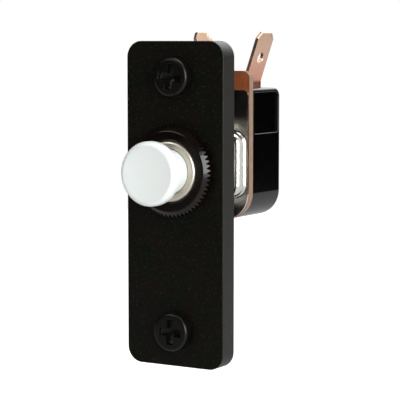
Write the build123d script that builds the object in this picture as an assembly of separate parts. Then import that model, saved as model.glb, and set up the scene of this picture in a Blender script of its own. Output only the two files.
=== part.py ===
from build123d import *
from math import cos, pi, radians, sin, sqrt, tan
import os

# Panel pushbutton switch, in millimetres.
# Frame: +Z up, +Y away from the user, origin on the back of the face plate,
# midway between its two screws. The user sees the plate from the -Y side.

# Face plate
PLATE_WIDTH = 22.0
PLATE_HEIGHT = 64.0
PLATE_THICKNESS = 4.4
PLATE_CORNER_RADIUS = 3.2
PLATE_EDGE_RADIUS = 0.15
SCREW_END_DISTANCE = 7.0
SPOT_FACE_RADIUS = 9.4
AXIS_HEIGHT = 6.7

# Plate screws, pan head with a cross recess
HEAD_RADIUS = 3.85
HEAD_HEIGHT = 2.0
HEAD_ROUNDING = 0.9
SHANK_RADIUS = 2.08
NECK_RADIUS = 1.9
SCREW_REACH = 8.3
SCREW_HOLE_CLEARANCE = 0.15
SHANK_TIP_CHAMFER = 0.5
RECESS_RADIUS = 2.5
RECESS_WIDTH = 1.15
RECESS_DEPTH = 1.7
RECESS_FLOOR_RADIUS = 0.55
UPPER_RECESS_TURN = 9.0
LOWER_RECESS_TURN = 3.0

# Threaded bushing
THREAD_RADIUS = 5.95
THREAD_CLEARANCE = 0.05
BUSHING_PROUD = 0.12
BUSHING_CHAMFER = 0.35
MOUTH_RADIUS = 4.6
MOUTH_DEPTH = 3.2
TAIL_RADIUS = 4.8
STAKE_RADIUS = 5.1
STAKE_THICKNESS = 0.4
PLATE_HOLE_CLEARANCE = 0.1
RELIEF_RADIUS = 5.5
RELIEF_LENGTH = 0.9

# Ring nut with straight knurl
RING_OUTER_RADIUS = 9.0
RING_THICKNESS = 2.4
RING_FACE_RADIUS = 8.0
RING_CHAMFER_LENGTH = 0.9
KNURL_COUNT = 60
KNURL_DEPTH = 0.55

# Lock washer and hexagonal back nut
WASHER_RADIUS = 8.7
WASHER_THICKNESS = 0.6
WASHER_TEETH = 10
WASHER_SLOT_WIDTH = 0.9
WASHER_SLOT_DEPTH = 1.1
NUT_ACROSS_FLATS = 14.3
NUT_THICKNESS = 2.4
NUT_CHAMFER = 0.45

# Stamped frame with its raised boss
SHEET = 0.55
BOSS_STANDOFF = 8.45
BOSS_HEIGHT = 2.35
BOSS_INSET = 0.75
BOSS_BOTTOM = 0.7
BOSS_TOP = 13.7
BOSS_CORNER_RADIUS = 2.4
BOSS_EDGE_RADIUS = 1.4
BOSS_INNER_EDGE_RADIUS = 0.3
BOSS_FOOT_RADIUS = 0.45
FLANGE_INSET = 0.1
FRAME_TOP = 22.15
FRAME_CORNER_RADIUS = 1.0
TAIL_CLEARANCE = 0.02

# Terminal board and case
BODY_WIDTH = 15.9
BODY_BOTTOM = -4.05
BODY_BOTTOM_RADIUS = 5.4
BOARD_TOP = 26.0
BOARD_TOP_RADIUS = 1.5
BOARD_THICKNESS = 1.5
CASE_TOP = 22.4
CASE_DEPTH = 11.5
CASE_WALL = 1.0
CASE_REAR_WALL = 1.2
CASE_EDGE_RADIUS = 0.6
CASE_CORNER_RADIUS = 1.9
CASE_INNER_RADIUS = 0.6
PANEL_FRONT_MARGIN = 0.45
PANEL_MARGIN = 0.85
PANEL_HEIGHT = 8.25
PANEL_CORNER_RADIUS = 0.6
PANEL_DEPTH = 0.35
PANEL_RIM_RADIUS = 0.2

# Rivets through frame, board and case
RIVET_RADIUS = 1.2
RIVET_CLEARANCE = 0.05
UPPER_HEAD_RADIUS = 1.9
RIVET_HEAD_THICKNESS = 0.7
LOWER_HEAD_RADIUS = 1.4
CLINCH_RADIUS = 1.75
CLINCH_THICKNESS = 0.5
CLINCH_BORE = 0.7
CLINCH_BORE_DEPTH = 1.6
UPPER_RIVET_HEIGHT = 17.9
LOWER_RIVET_HEIGHT = -1.9
UPPER_PILLAR_RADIUS = 2.3
LOWER_PILLAR_RADIUS = 1.65

# Quick-connect terminals
BLADE_WIDTH = 6.35
BLADE_THICKNESS = 0.8
BLADE_OFFSET = 4.4
BLADE_LEAN = 19.0
BLADE_BEND_HEIGHT = 23.9
BLADE_BEND_RADIUS = 2.4
BLADE_LENGTH = 10.4
BLADE_TIP_CUT = 1.3
BLADE_COIN = 0.14
BLADE_HOLE_RADIUS = 1.1
BLADE_HOLE_FROM_TIP = 5.4
BLADE_BOTTOM = 13.3
SLOT_CLEARANCE = 0.06
FOOT_WIDTH = 2.7
FOOT_BOTTOM = 4.5
FOOT_TOP = 19.3

# Contacts
CONTACT_RADIUS = 1.3
CONTACT_HEAD = 0.6
CONTACT_DOME = 0.15
CONTACT_SHANK_RADIUS = 0.7
CONTACT_SHANK_CLEARANCE = 0.02

# Button and what moves with it
TRAVEL = 3.2
STEM_RADIUS = 4.4
STEM_RUNNING_CLEARANCE = 0.05
CAP_RADIUS = 6.25
CAP_FRONT = 10.2
CAP_BACK = 8.0
CAP_FACE_ROUNDING = 0.95
CAP_DISH = 0.4
CAP_NECK_RADIUS = 1.65
STOP_GAP = 0.05
SPIGOT_RADIUS = 2.6
SPIGOT_CLEARANCE = 0.04
SPIGOT_LENGTH = 5.0
COLLAR_RADIUS = 5.2
COLLAR_THICKNESS = 1.2
POST_SIDE = 3.0
POST_END_RADIUS = 1.3
POST_END_LENGTH = 0.7
BOARD_HOLE_CLEARANCE = 0.3
CLOSED_GAP = 0.05

# Contact bridge and its clip
BRIDGE_THICKNESS = 0.8
BRIDGE_ARM_WIDTH = 3.4
BRIDGE_HUB_RADIUS = 3.2
BRIDGE_END_MARGIN = 1.25
BRIDGE_HOLE_CLEARANCE = 0.05
CLIP_THICKNESS = 0.5
CLIP_RADIUS = 2.8
CLIP_GROOVE_RADIUS = 1.25
CLIP_CLEARANCE = 0.05

# Springs
CONTACT_SPRING_RADIUS = 2.75
CONTACT_SPRING_WIRE = 0.45
CONTACT_SPRING_TURNS = 5.0
RETURN_SPRING_SMALL = 1.95
RETURN_SPRING_LARGE = 3.5
RETURN_SPRING_WIRE = 0.45
RETURN_SPRING_TURNS = 5.0
SPRING_SEAT_GAP = 0.05
SPRING_POST_RADIUS = 1.1
SPRING_POST_LENGTH = 1.2

# Places along the button's axis, worked out from the sizes above
PLATE_FRONT = -PLATE_THICKNESS
RING_FRONT = PLATE_FRONT - RING_THICKNESS
BUSHING_FRONT = RING_FRONT - BUSHING_PROUD
BOSS_FRONT = BOSS_STANDOFF
FLANGE_FRONT = BOSS_FRONT + BOSS_HEIGHT
BOARD_FRONT = FLANGE_FRONT + SHEET
CASE_FRONT = BOARD_FRONT + BOARD_THICKNESS
CASE_REAR = CASE_FRONT + CASE_DEPTH
CASE_FLOOR = CASE_REAR - CASE_REAR_WALL
STAKE_BACK = BOSS_FRONT + SHEET + STAKE_THICKNESS
COLLAR_FRONT = STAKE_BACK + STOP_GAP
COLLAR_BACK = COLLAR_FRONT + COLLAR_THICKNESS
BLADE_MIDDLE = (CASE_FRONT + CASE_REAR) / 2
BLADE_REAR = BLADE_MIDDLE + BLADE_WIDTH / 2
FOOT_FRONT = BLADE_REAR - BLADE_THICKNESS
FIXED_CONTACT_FRONT = FOOT_FRONT - CONTACT_HEAD
BRIDGE_BACK = FIXED_CONTACT_FRONT - CLOSED_GAP - TRAVEL - CONTACT_HEAD
BRIDGE_FRONT = BRIDGE_BACK - BRIDGE_THICKNESS
CLIP_BACK = BRIDGE_BACK + CLIP_THICKNESS
SCREW_HOLE_RADIUS = SHANK_RADIUS + SCREW_HOLE_CLEARANCE
SCREW_SPACING = PLATE_HEIGHT - 2 * SCREW_END_DISTANCE

# Places across the body
INNER_HALF_WIDTH = BODY_WIDTH / 2 - CASE_WALL
FOOT_INNER = BLADE_OFFSET - BLADE_THICKNESS / 2
CONTACT_OFFSET = FOOT_INNER + FOOT_WIDTH / 2
BOSS_WIDTH = BODY_WIDTH - 2 * BOSS_INSET
FLANGE_WIDTH = BODY_WIDTH - 2 * FLANGE_INSET


def outline(points, corners=()):
    """Closed flat face through the points, with the listed corners (x, y, radius) rounded."""
    face = make_face(Polyline(*points, close=True))
    for x, y, radius in corners:
        if radius > 0:
            corner = face.vertices().sort_by_distance((x, y, 0))[0]
            face = fillet(corner, radius)
    return face


def turned(face):
    """Solid turned round the button's axis from a face of (radius, place along the axis)."""
    return Pos(0, 0, AXIS_HEIGHT) * revolve(face, axis=Axis.Y)


def disc(radius, front, back):
    """Round bar along the button's axis."""
    return turned(outline([(0, front), (radius, front), (radius, back), (0, back)]))


def bar(radius, front, back, x, z):
    """Round bar parallel to the button's axis, centred at x and z."""
    return Pos(x, 0, z - AXIS_HEIGHT) * disc(radius, front, back)


def block(x_low, x_high, y_low, y_high, z_low, z_high):
    """Rectangular solid between two corners."""
    size = Box(x_high - x_low, y_high - y_low, z_high - z_low)
    return Pos((x_low + x_high) / 2, (y_low + y_high) / 2, (z_low + z_high) / 2) * size


def sheet(face, front, back):
    """Flat face of (x, z) given a thickness from front to back."""
    upright = Plane(origin=(0, front, 0), x_dir=(1, 0, 0), z_dir=(0, -1, 0))
    return extrude(upright * face, amount=front - back)


def panel(width, bottom, top, bottom_radius, top_radius):
    """Upright rectangle with its two bottom and two top corners rounded."""
    half = width / 2
    points = [(-half, bottom), (half, bottom), (half, top), (-half, top)]
    corners = [(-half, bottom, bottom_radius), (half, bottom, bottom_radius)]
    corners += [(half, top, top_radius), (-half, top, top_radius)]
    return outline(points, corners)


def edges_at(part, y):
    """Edges of the part that lie wholly in the plane at y."""
    return part.edges().filter_by_position(Axis.Y, y - 1e-4, y + 1e-4)


def mounting_plate():
    """Thick plate with rounded corners, the bushing hole, two screw holes and a spot face behind."""
    half = PLATE_HEIGHT / 2
    face = panel(PLATE_WIDTH, -half, half, PLATE_CORNER_RADIUS, PLATE_CORNER_RADIUS)
    plate = sheet(face, PLATE_FRONT, 0)
    plate = fillet(edges_at(plate, PLATE_FRONT), PLATE_EDGE_RADIUS)
    plate = chamfer(edges_at(plate, 0), PLATE_EDGE_RADIUS)
    plate -= disc(THREAD_RADIUS + PLATE_HOLE_CLEARANCE, PLATE_FRONT, 0)
    plate -= disc(SPOT_FACE_RADIUS, -WASHER_THICKNESS, 0)
    for side in (-1, 1):
        plate -= bar(SCREW_HOLE_RADIUS, PLATE_FRONT, 0, 0, side * SCREW_SPACING / 2)
    return plate


def cross_recess(turn):
    """Tapered cross recess cut into a screw head whose face is at the plane y = 0."""
    arms = Box(2 * RECESS_RADIUS, 2 * RECESS_DEPTH, RECESS_WIDTH)
    arms += Box(RECESS_WIDTH, 2 * RECESS_DEPTH, 2 * RECESS_RADIUS)
    taper = outline([(0, -RECESS_DEPTH), (RECESS_RADIUS, -RECESS_DEPTH), (RECESS_RADIUS, 0),
                     (RECESS_FLOOR_RADIUS, RECESS_DEPTH), (0, RECESS_DEPTH)])
    return Rot(0, turn, 0) * (arms & revolve(taper, axis=Axis.Y))


def plate_screw(height, turn):
    """Pan-head screw with a neck through the plate and its threaded end behind it."""
    head_front = PLATE_FRONT - HEAD_HEIGHT
    tip = SCREW_REACH
    profile = outline(
        [(0, head_front), (HEAD_RADIUS, head_front), (HEAD_RADIUS, PLATE_FRONT),
         (NECK_RADIUS, PLATE_FRONT), (NECK_RADIUS, 0), (SHANK_RADIUS, 0),
         (SHANK_RADIUS, tip - SHANK_TIP_CHAMFER), (SHANK_RADIUS - SHANK_TIP_CHAMFER, tip), (0, tip)],
        [(HEAD_RADIUS, head_front, HEAD_ROUNDING)])
    screw = revolve(profile, axis=Axis.Y) - Pos(0, head_front, 0) * cross_recess(turn)
    return Pos(0, 0, height) * screw


def knurled_outline():
    """Closed zigzag of the ring nut's knurl: one tip and one root for each tooth."""
    points = []
    for step in range(2 * KNURL_COUNT):
        radius = RING_OUTER_RADIUS if step % 2 else RING_OUTER_RADIUS - KNURL_DEPTH
        angle = pi * step / KNURL_COUNT
        points.append((radius * cos(angle), radius * sin(angle)))
    return make_face(Polyline(*points, close=True))


def ring_nut():
    """Round nut with a straight knurl, a wide front chamfer and a small rear one."""
    bore = THREAD_RADIUS + THREAD_CLEARANCE
    shoulder = RING_FRONT + RING_CHAMFER_LENGTH
    rear_bevel = KNURL_DEPTH / 2
    profile = outline(
        [(bore, RING_FRONT), (RING_FACE_RADIUS, RING_FRONT), (RING_OUTER_RADIUS, shoulder),
         (RING_OUTER_RADIUS, PLATE_FRONT - rear_bevel), (RING_OUTER_RADIUS - rear_bevel, PLATE_FRONT),
         (bore, PLATE_FRONT)])
    knurl = Pos(0, 0, AXIS_HEIGHT) * sheet(knurled_outline(), RING_FRONT, PLATE_FRONT)
    return turned(profile) & knurl


def lock_washer():
    """Internal-tooth washer in the plate's spot face."""
    inner = THREAD_RADIUS + THREAD_CLEARANCE
    washer = disc(WASHER_RADIUS, -WASHER_THICKNESS, 0) - disc(inner, -WASHER_THICKNESS, 0)
    slot = block(inner - WASHER_SLOT_DEPTH, inner + WASHER_SLOT_DEPTH, -WASHER_THICKNESS, 0,
                 -WASHER_SLOT_WIDTH / 2, WASHER_SLOT_WIDTH / 2)
    for step in range(WASHER_TEETH):
        washer -= Pos(0, 0, AXIS_HEIGHT) * (Rot(0, step * 360 / WASHER_TEETH, 0) * slot)
    return washer


def back_nut():
    """Hexagonal nut that clamps the plate from behind, corners chamfered on both faces."""
    corner = NUT_ACROSS_FLATS / sqrt(3)
    hexagon = Pos(0, 0, AXIS_HEIGHT) * sheet(RegularPolygon(corner, 6), 0, NUT_THICKNESS)
    bevel = corner - NUT_ACROSS_FLATS / 2
    profile = outline(
        [(THREAD_RADIUS + THREAD_CLEARANCE, 0), (corner - bevel, 0), (corner, NUT_CHAMFER),
         (corner, NUT_THICKNESS - NUT_CHAMFER), (corner - bevel, NUT_THICKNESS),
         (THREAD_RADIUS + THREAD_CLEARANCE, NUT_THICKNESS)])
    return hexagon & turned(profile)


def threaded_bushing():
    """Bushing with a wide mouth round the stem, a guide bore and a tail staked into the boss."""
    guide = STEM_RADIUS + STEM_RUNNING_CLEARANCE
    stake_front = BOSS_FRONT + SHEET
    relief = THREAD_RADIUS - RELIEF_RADIUS
    profile = outline(
        [(MOUTH_RADIUS, BUSHING_FRONT), (THREAD_RADIUS - BUSHING_CHAMFER, BUSHING_FRONT),
         (THREAD_RADIUS, BUSHING_FRONT + BUSHING_CHAMFER),
         (THREAD_RADIUS, BOSS_FRONT - RELIEF_LENGTH - relief),
         (RELIEF_RADIUS, BOSS_FRONT - RELIEF_LENGTH),
         (RELIEF_RADIUS, BOSS_FRONT), (TAIL_RADIUS, BOSS_FRONT), (TAIL_RADIUS, stake_front),
         (STAKE_RADIUS, stake_front), (STAKE_RADIUS, STAKE_BACK), (guide, STAKE_BACK),
         (guide, BUSHING_FRONT + MOUTH_DEPTH), (MOUTH_RADIUS, BUSHING_FRONT + MOUTH_DEPTH)])
    return turned(profile)


def metal_frame():
    """Sheet frame: a flat flange that covers the board, drawn up into a rectangular boss."""
    frame = sheet(panel(FLANGE_WIDTH, BODY_BOTTOM + FLANGE_INSET, FRAME_TOP,
                        BODY_BOTTOM_RADIUS - FLANGE_INSET, FRAME_CORNER_RADIUS),
                  FLANGE_FRONT, BOARD_FRONT)
    boss = sheet(panel(BOSS_WIDTH, BOSS_BOTTOM, BOSS_TOP, BOSS_CORNER_RADIUS, BOSS_CORNER_RADIUS),
                 BOSS_FRONT, BOARD_FRONT)
    frame += fillet(edges_at(boss, BOSS_FRONT), BOSS_EDGE_RADIUS)
    foot = [e for e in edges_at(frame, FLANGE_FRONT) if abs(e.center().X) < FLANGE_WIDTH / 2 - 1e-4
            and BOSS_BOTTOM - 1e-4 < e.center().Z < BOSS_TOP + 1e-4]
    frame = fillet(foot, BOSS_FOOT_RADIUS)
    inner_radius = BOSS_CORNER_RADIUS - SHEET
    hollow = sheet(panel(BOSS_WIDTH - 2 * SHEET, BOSS_BOTTOM + SHEET, BOSS_TOP - SHEET,
                         inner_radius, inner_radius), BOSS_FRONT + SHEET, BOARD_FRONT)
    frame -= fillet(edges_at(hollow, BOSS_FRONT + SHEET), BOSS_INNER_EDGE_RADIUS)
    frame -= disc(TAIL_RADIUS + TAIL_CLEARANCE, BOSS_FRONT, BOARD_FRONT)
    for height in (UPPER_RIVET_HEIGHT, LOWER_RIVET_HEIGHT):
        frame -= bar(RIVET_RADIUS + RIVET_CLEARANCE, FLANGE_FRONT, BOARD_FRONT, 0, height)
    return frame


def terminal_board():
    """Fibre board between frame and case, with a plunger hole and two rivet holes."""
    face = panel(BODY_WIDTH, BODY_BOTTOM, BOARD_TOP, BODY_BOTTOM_RADIUS, BOARD_TOP_RADIUS)
    board = sheet(face, BOARD_FRONT, CASE_FRONT)
    board -= disc(COLLAR_RADIUS + BOARD_HOLE_CLEARANCE, BOARD_FRONT, CASE_FRONT)
    for height in (UPPER_RIVET_HEIGHT, LOWER_RIVET_HEIGHT):
        board -= bar(RIVET_RADIUS + RIVET_CLEARANCE, BOARD_FRONT, CASE_FRONT, 0, height)
    return board


def case_body():
    """Outside of the case: rounded edges at the top and rear, and a sunk panel in each side."""
    body = sheet(panel(BODY_WIDTH, BODY_BOTTOM, CASE_TOP, BODY_BOTTOM_RADIUS, 0), CASE_FRONT, CASE_REAR)
    top_rear = body.edges().filter_by(Axis.X).sort_by_distance((0, CASE_REAR, CASE_TOP))[0]
    body = fillet(top_rear, CASE_CORNER_RADIUS)
    seams = body.edges().filter_by(Axis.X).filter_by_position(Axis.Z, AXIS_HEIGHT, CASE_TOP + 1)
    seams += body.edges().filter_by(Axis.Y).filter_by_position(Axis.Z, BODY_BOTTOM - 1, AXIS_HEIGHT)
    body = fillet(body.edges() - seams - edges_at(body, CASE_FRONT), CASE_EDGE_RADIUS)
    front = CASE_FRONT + PANEL_FRONT_MARGIN
    rear = CASE_REAR - PANEL_MARGIN
    top = CASE_TOP - PANEL_MARGIN
    bottom = top - PANEL_HEIGHT
    face = outline([(front, bottom), (rear, bottom), (rear, top), (front, top)],
                   [(front, bottom, PANEL_CORNER_RADIUS), (rear, bottom, PANEL_CORNER_RADIUS),
                    (rear, top, CASE_CORNER_RADIUS - PANEL_MARGIN), (front, top, PANEL_CORNER_RADIUS)])
    for side in (-1, 1):
        floor = side * (BODY_WIDTH / 2 - PANEL_DEPTH)
        sideways = Plane(origin=(floor, 0, 0), x_dir=(0, 1, 0), z_dir=(1, 0, 0))
        body -= extrude(sideways * face, amount=side * PANEL_DEPTH)
        wall = side * BODY_WIDTH / 2
        rim = body.edges().filter_by_position(Axis.X, wall - 1e-4, wall + 1e-4)
        rim = rim.filter_by_position(Axis.Y, front - 1e-4, rear + 1e-4)
        rim = rim.filter_by_position(Axis.Z, bottom - 1e-4, top + 1e-4)
        body = fillet(rim, PANEL_RIM_RADIUS)
    return body


def switch_case():
    """Moulded case, open towards the board, with pillars, ribs, terminal slots and side panels."""
    case = case_body()
    hollow = sheet(panel(2 * INNER_HALF_WIDTH, BODY_BOTTOM + CASE_WALL, CASE_TOP - CASE_WALL,
                         BODY_BOTTOM_RADIUS - CASE_WALL, CASE_INNER_RADIUS), CASE_FRONT, CASE_FLOOR)
    pillars = bar(UPPER_PILLAR_RADIUS, CASE_FRONT, CASE_FLOOR, 0, UPPER_RIVET_HEIGHT)
    pillars += bar(LOWER_PILLAR_RADIUS, CASE_FRONT, CASE_FLOOR, 0, LOWER_RIVET_HEIGHT)
    pillars += disc(SPRING_POST_RADIUS, CASE_FLOOR - SPRING_POST_LENGTH, CASE_FLOOR)
    case -= hollow - pillars
    for height in (UPPER_RIVET_HEIGHT, LOWER_RIVET_HEIGHT):
        case -= bar(RIVET_RADIUS + RIVET_CLEARANCE, CASE_FRONT, CASE_REAR, 0, height)
    half_slot = BLADE_THICKNESS / 2 + SLOT_CLEARANCE
    for side in (-1, 1):
        slot = side * BLADE_OFFSET
        case -= block(slot - half_slot, slot + half_slot, CASE_FRONT, BLADE_REAR + SLOT_CLEARANCE,
                      CASE_TOP - CASE_WALL, CASE_TOP)
        rib = sorted((side * FOOT_INNER, side * INNER_HALF_WIDTH))
        case += block(rib[0], rib[1], BLADE_REAR, CASE_FLOOR, FOOT_BOTTOM, FOOT_BOTTOM + CASE_WALL)
        case += block(rib[0], rib[1], BLADE_REAR, CASE_FLOOR, FOOT_TOP - CASE_WALL, FOOT_TOP)
    return case


def tubular_rivet(height, head_radius):
    """Rivet with its head on the frame and its hollow end rolled over on the back of the case."""
    head_back = FLANGE_FRONT
    head_front = head_back - RIVET_HEAD_THICKNESS
    end = CASE_REAR + CLINCH_THICKNESS
    profile = outline(
        [(0, head_front), (head_radius, head_front), (head_radius, head_back),
         (RIVET_RADIUS, head_back), (RIVET_RADIUS, CASE_REAR), (CLINCH_RADIUS, CASE_REAR),
         (CLINCH_RADIUS, end), (CLINCH_BORE, end), (CLINCH_BORE, end - CLINCH_BORE_DEPTH),
         (0, end - CLINCH_BORE_DEPTH)],
        [(head_radius, head_front, RIVET_HEAD_THICKNESS / 2), (CLINCH_RADIUS, end, CLINCH_THICKNESS / 2)])
    return Pos(0, 0, height) * revolve(profile, axis=Axis.Y)


def leaning_blade():
    """Blade strip of one terminal, bent over outwards above the case, before its tip is cut."""
    half = BLADE_THICKNESS / 2
    lean = radians(BLADE_LEAN)
    along = (sin(lean), cos(lean))
    across = (cos(lean) * half, -sin(lean) * half)
    tip = (BLADE_OFFSET + along[0] * BLADE_LENGTH, BLADE_BEND_HEIGHT + along[1] * BLADE_LENGTH)
    turn = half * tan(lean / 2)
    outer = (BLADE_OFFSET + half, BLADE_BEND_HEIGHT - turn)
    inner = (BLADE_OFFSET - half, BLADE_BEND_HEIGHT + turn)
    face = outline(
        [(BLADE_OFFSET - half, BLADE_BOTTOM), (BLADE_OFFSET + half, BLADE_BOTTOM), outer,
         (tip[0] + across[0], tip[1] + across[1]), (tip[0] - across[0], tip[1] - across[1]), inner],
        [(outer[0], outer[1], BLADE_BEND_RADIUS), (inner[0], inner[1], BLADE_BEND_RADIUS + BLADE_THICKNESS)])
    return sheet(face, BLADE_REAR - BLADE_WIDTH, BLADE_REAR), tip, along


def right_terminal():
    """Quick-connect terminal: leaning blade with cut corners and hole, and a foot folded behind."""
    blade, tip, along = leaning_blade()
    reach = 2 * BLADE_THICKNESS + BLADE_TIP_CUT
    for side in (-1, 1):
        edge = BLADE_MIDDLE + side * BLADE_WIDTH / 2
        low = tip[1] - BLADE_TIP_CUT * along[1]
        over = tip[1] + BLADE_THICKNESS
        beyond = edge + side * (over - tip[1])
        start = edge - side * BLADE_TIP_CUT
        corner = make_face(Polyline((0, edge, low), (0, start, tip[1]), (0, start, over),
                                    (0, beyond, over), (0, beyond, low), close=True))
        blade -= Pos(tip[0] - reach, 0, 0) * extrude(corner, amount=2 * reach, dir=(1, 0, 0))
    tip_edges = [e for e in blade.edges() if e.center().Z > BLADE_BEND_HEIGHT + BLADE_BEND_RADIUS
                 and abs(e.tangent_at(0.5).X) < sin(radians(BLADE_LEAN)) + 0.1]
    blade = chamfer(tip_edges, BLADE_COIN)
    hole_x = tip[0] - along[0] * BLADE_HOLE_FROM_TIP
    hole_z = tip[1] - along[1] * BLADE_HOLE_FROM_TIP
    drill = Rot(0, BLADE_LEAN, 0) * (Rot(0, 90, 0) * Cylinder(BLADE_HOLE_RADIUS, 4 * BLADE_THICKNESS))
    blade -= Pos(hole_x, BLADE_MIDDLE, hole_z) * drill
    foot = block(FOOT_INNER, FOOT_INNER + FOOT_WIDTH, FOOT_FRONT, BLADE_REAR, FOOT_BOTTOM, FOOT_TOP)
    foot -= bar(CONTACT_SHANK_RADIUS + CONTACT_SHANK_CLEARANCE, FOOT_FRONT, BLADE_REAR,
                CONTACT_OFFSET, AXIS_HEIGHT)
    return blade + foot


def contact(face_at, back_at, facing, x):
    """Contact rivet: domed head whose face is at face_at, shank through the metal to back_at."""
    seat = face_at - facing * CONTACT_HEAD
    rim = face_at - facing * CONTACT_DOME
    profile = outline(
        [(0, face_at), (CONTACT_RADIUS - CONTACT_DOME, face_at), (CONTACT_RADIUS, rim),
         (CONTACT_RADIUS, seat), (CONTACT_SHANK_RADIUS, seat), (CONTACT_SHANK_RADIUS, back_at),
         (0, back_at)])
    return Pos(x, 0, 0) * turned(profile)


def push_button():
    """White button: cap with a dished face, concave neck and hollow stem in one moulding."""
    front = PLATE_FRONT - CAP_FRONT
    back = PLATE_FRONT - CAP_BACK
    bore = SPIGOT_RADIUS + SPIGOT_CLEARANCE
    bore_end = COLLAR_FRONT - SPIGOT_LENGTH - SPIGOT_CLEARANCE
    dish = ThreePointArc((0, front + CAP_DISH), (CAP_RADIUS / 2, front + CAP_DISH * 3 / 4),
                         (CAP_RADIUS, front))
    rest = Polyline((CAP_RADIUS, front), (CAP_RADIUS, back), (STEM_RADIUS, back),
                    (STEM_RADIUS, COLLAR_FRONT), (bore, COLLAR_FRONT), (bore, bore_end),
                    (0, bore_end), (0, front + CAP_DISH))
    face = make_face([dish, rest])
    for x, y, radius in ((CAP_RADIUS, front, CAP_FACE_ROUNDING), (STEM_RADIUS, back, CAP_NECK_RADIUS)):
        corner = face.vertices().sort_by_distance((x, y, 0))[0]
        face = fillet(corner, radius)
    return turned(face)


def plunger():
    """Inner piece: spigot in the stem, stop collar, square post and a grooved round end."""
    body = disc(SPIGOT_RADIUS, COLLAR_FRONT - SPIGOT_LENGTH, COLLAR_FRONT)
    body += disc(COLLAR_RADIUS, COLLAR_FRONT, COLLAR_BACK)
    half = POST_SIDE / 2
    body += block(-half, half, COLLAR_BACK, BRIDGE_BACK, AXIS_HEIGHT - half, AXIS_HEIGHT + half)
    body += disc(CLIP_GROOVE_RADIUS, BRIDGE_BACK, CLIP_BACK)
    body += disc(POST_END_RADIUS, CLIP_BACK, CLIP_BACK + POST_END_LENGTH)
    return body


def contact_bridge():
    """Copper bridge: round hub on the square post, with an arm and a contact hole at each side."""
    reach = CONTACT_OFFSET + BRIDGE_END_MARGIN
    half = BRIDGE_ARM_WIDTH / 2
    arms = sheet(panel(2 * reach, AXIS_HEIGHT - half, AXIS_HEIGHT + half, half / 2, half / 2),
                 BRIDGE_FRONT, BRIDGE_BACK)
    bridge = arms + disc(BRIDGE_HUB_RADIUS, BRIDGE_FRONT, BRIDGE_BACK)
    hole = POST_SIDE / 2 + BRIDGE_HOLE_CLEARANCE
    bridge -= block(-hole, hole, BRIDGE_FRONT, BRIDGE_BACK, AXIS_HEIGHT - hole, AXIS_HEIGHT + hole)
    for side in (-1, 1):
        bridge -= bar(CONTACT_SHANK_RADIUS + CONTACT_SHANK_CLEARANCE, BRIDGE_FRONT, BRIDGE_BACK,
                      side * CONTACT_OFFSET, AXIS_HEIGHT)
    return bridge


def bridge_clip():
    """Open retaining ring in the groove behind the bridge."""
    inner = CLIP_GROOVE_RADIUS + CLIP_CLEARANCE
    ring = disc(CLIP_RADIUS, BRIDGE_BACK, CLIP_BACK) - disc(inner, BRIDGE_BACK, CLIP_BACK)
    return ring - block(-inner * 0.8, inner * 0.8, BRIDGE_BACK, CLIP_BACK, AXIS_HEIGHT - CLIP_RADIUS,
                        AXIS_HEIGHT)


def coil_spring(front, back, front_radius, back_radius, wire, turns):
    """Round-wire coil from front to back round the button's axis, cylindrical or conical."""
    start = front + SPRING_SEAT_GAP + wire / 2
    height = back - SPRING_SEAT_GAP - wire / 2 - start
    taper = 0
    if back_radius != front_radius:
        taper = degrees_of((back_radius - front_radius) / height)
    path = Helix(height / turns, height, front_radius, cone_angle=taper)
    section = Plane(origin=path @ 0, z_dir=path % 0) * Circle(wire / 2)
    coil = sweep(section, path=path, is_frenet=True)
    return Pos(0, start, AXIS_HEIGHT) * (Rot(-90, 0, 0) * coil)


def degrees_of(slope):
    """Angle in degrees whose tangent is the slope."""
    return Vector(1, 0, 0).get_angle(Vector(1, slope, 0))


half_spacing = SCREW_SPACING / 2
terminal = right_terminal()
moving_face = BRIDGE_BACK + CONTACT_HEAD
pieces = {
    "mounting_plate": mounting_plate(),
    "upper_screw": plate_screw(half_spacing, UPPER_RECESS_TURN),
    "lower_screw": plate_screw(-half_spacing, LOWER_RECESS_TURN),
    "ring_nut": ring_nut(),
    "lock_washer": lock_washer(),
    "back_nut": back_nut(),
    "threaded_bushing": threaded_bushing(),
    "metal_frame": metal_frame(),
    "terminal_board": terminal_board(),
    "switch_case": switch_case(),
    "upper_rivet": tubular_rivet(UPPER_RIVET_HEIGHT, UPPER_HEAD_RADIUS),
    "lower_rivet": tubular_rivet(LOWER_RIVET_HEIGHT, LOWER_HEAD_RADIUS),
    "right_terminal": terminal,
    "left_terminal": mirror(terminal, about=Plane.YZ),
    "right_fixed_contact": contact(FIXED_CONTACT_FRONT, BLADE_REAR, -1, CONTACT_OFFSET),
    "left_fixed_contact": contact(FIXED_CONTACT_FRONT, BLADE_REAR, -1, -CONTACT_OFFSET),
    "push_button": push_button(),
    "plunger": plunger(),
    "contact_bridge": contact_bridge(),
    "right_moving_contact": contact(moving_face, BRIDGE_FRONT, 1, CONTACT_OFFSET),
    "left_moving_contact": contact(moving_face, BRIDGE_FRONT, 1, -CONTACT_OFFSET),
    "bridge_clip": bridge_clip(),
    "contact_spring": coil_spring(COLLAR_BACK, BRIDGE_FRONT, CONTACT_SPRING_RADIUS,
                                  CONTACT_SPRING_RADIUS, CONTACT_SPRING_WIRE, CONTACT_SPRING_TURNS),
    "return_spring": coil_spring(CLIP_BACK, CASE_FLOOR, RETURN_SPRING_SMALL, RETURN_SPRING_LARGE,
                                 RETURN_SPRING_WIRE, RETURN_SPRING_TURNS),
}

os.makedirs("parts", exist_ok=True)
for name, piece in pieces.items():
    export_step(piece, f"parts/{name}.step")
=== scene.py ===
import logging
from dataclasses import dataclass, field
from enum import Enum
from math import atan, cos, pi, radians, sin, tan
from typing import Optional, Sequence

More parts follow.
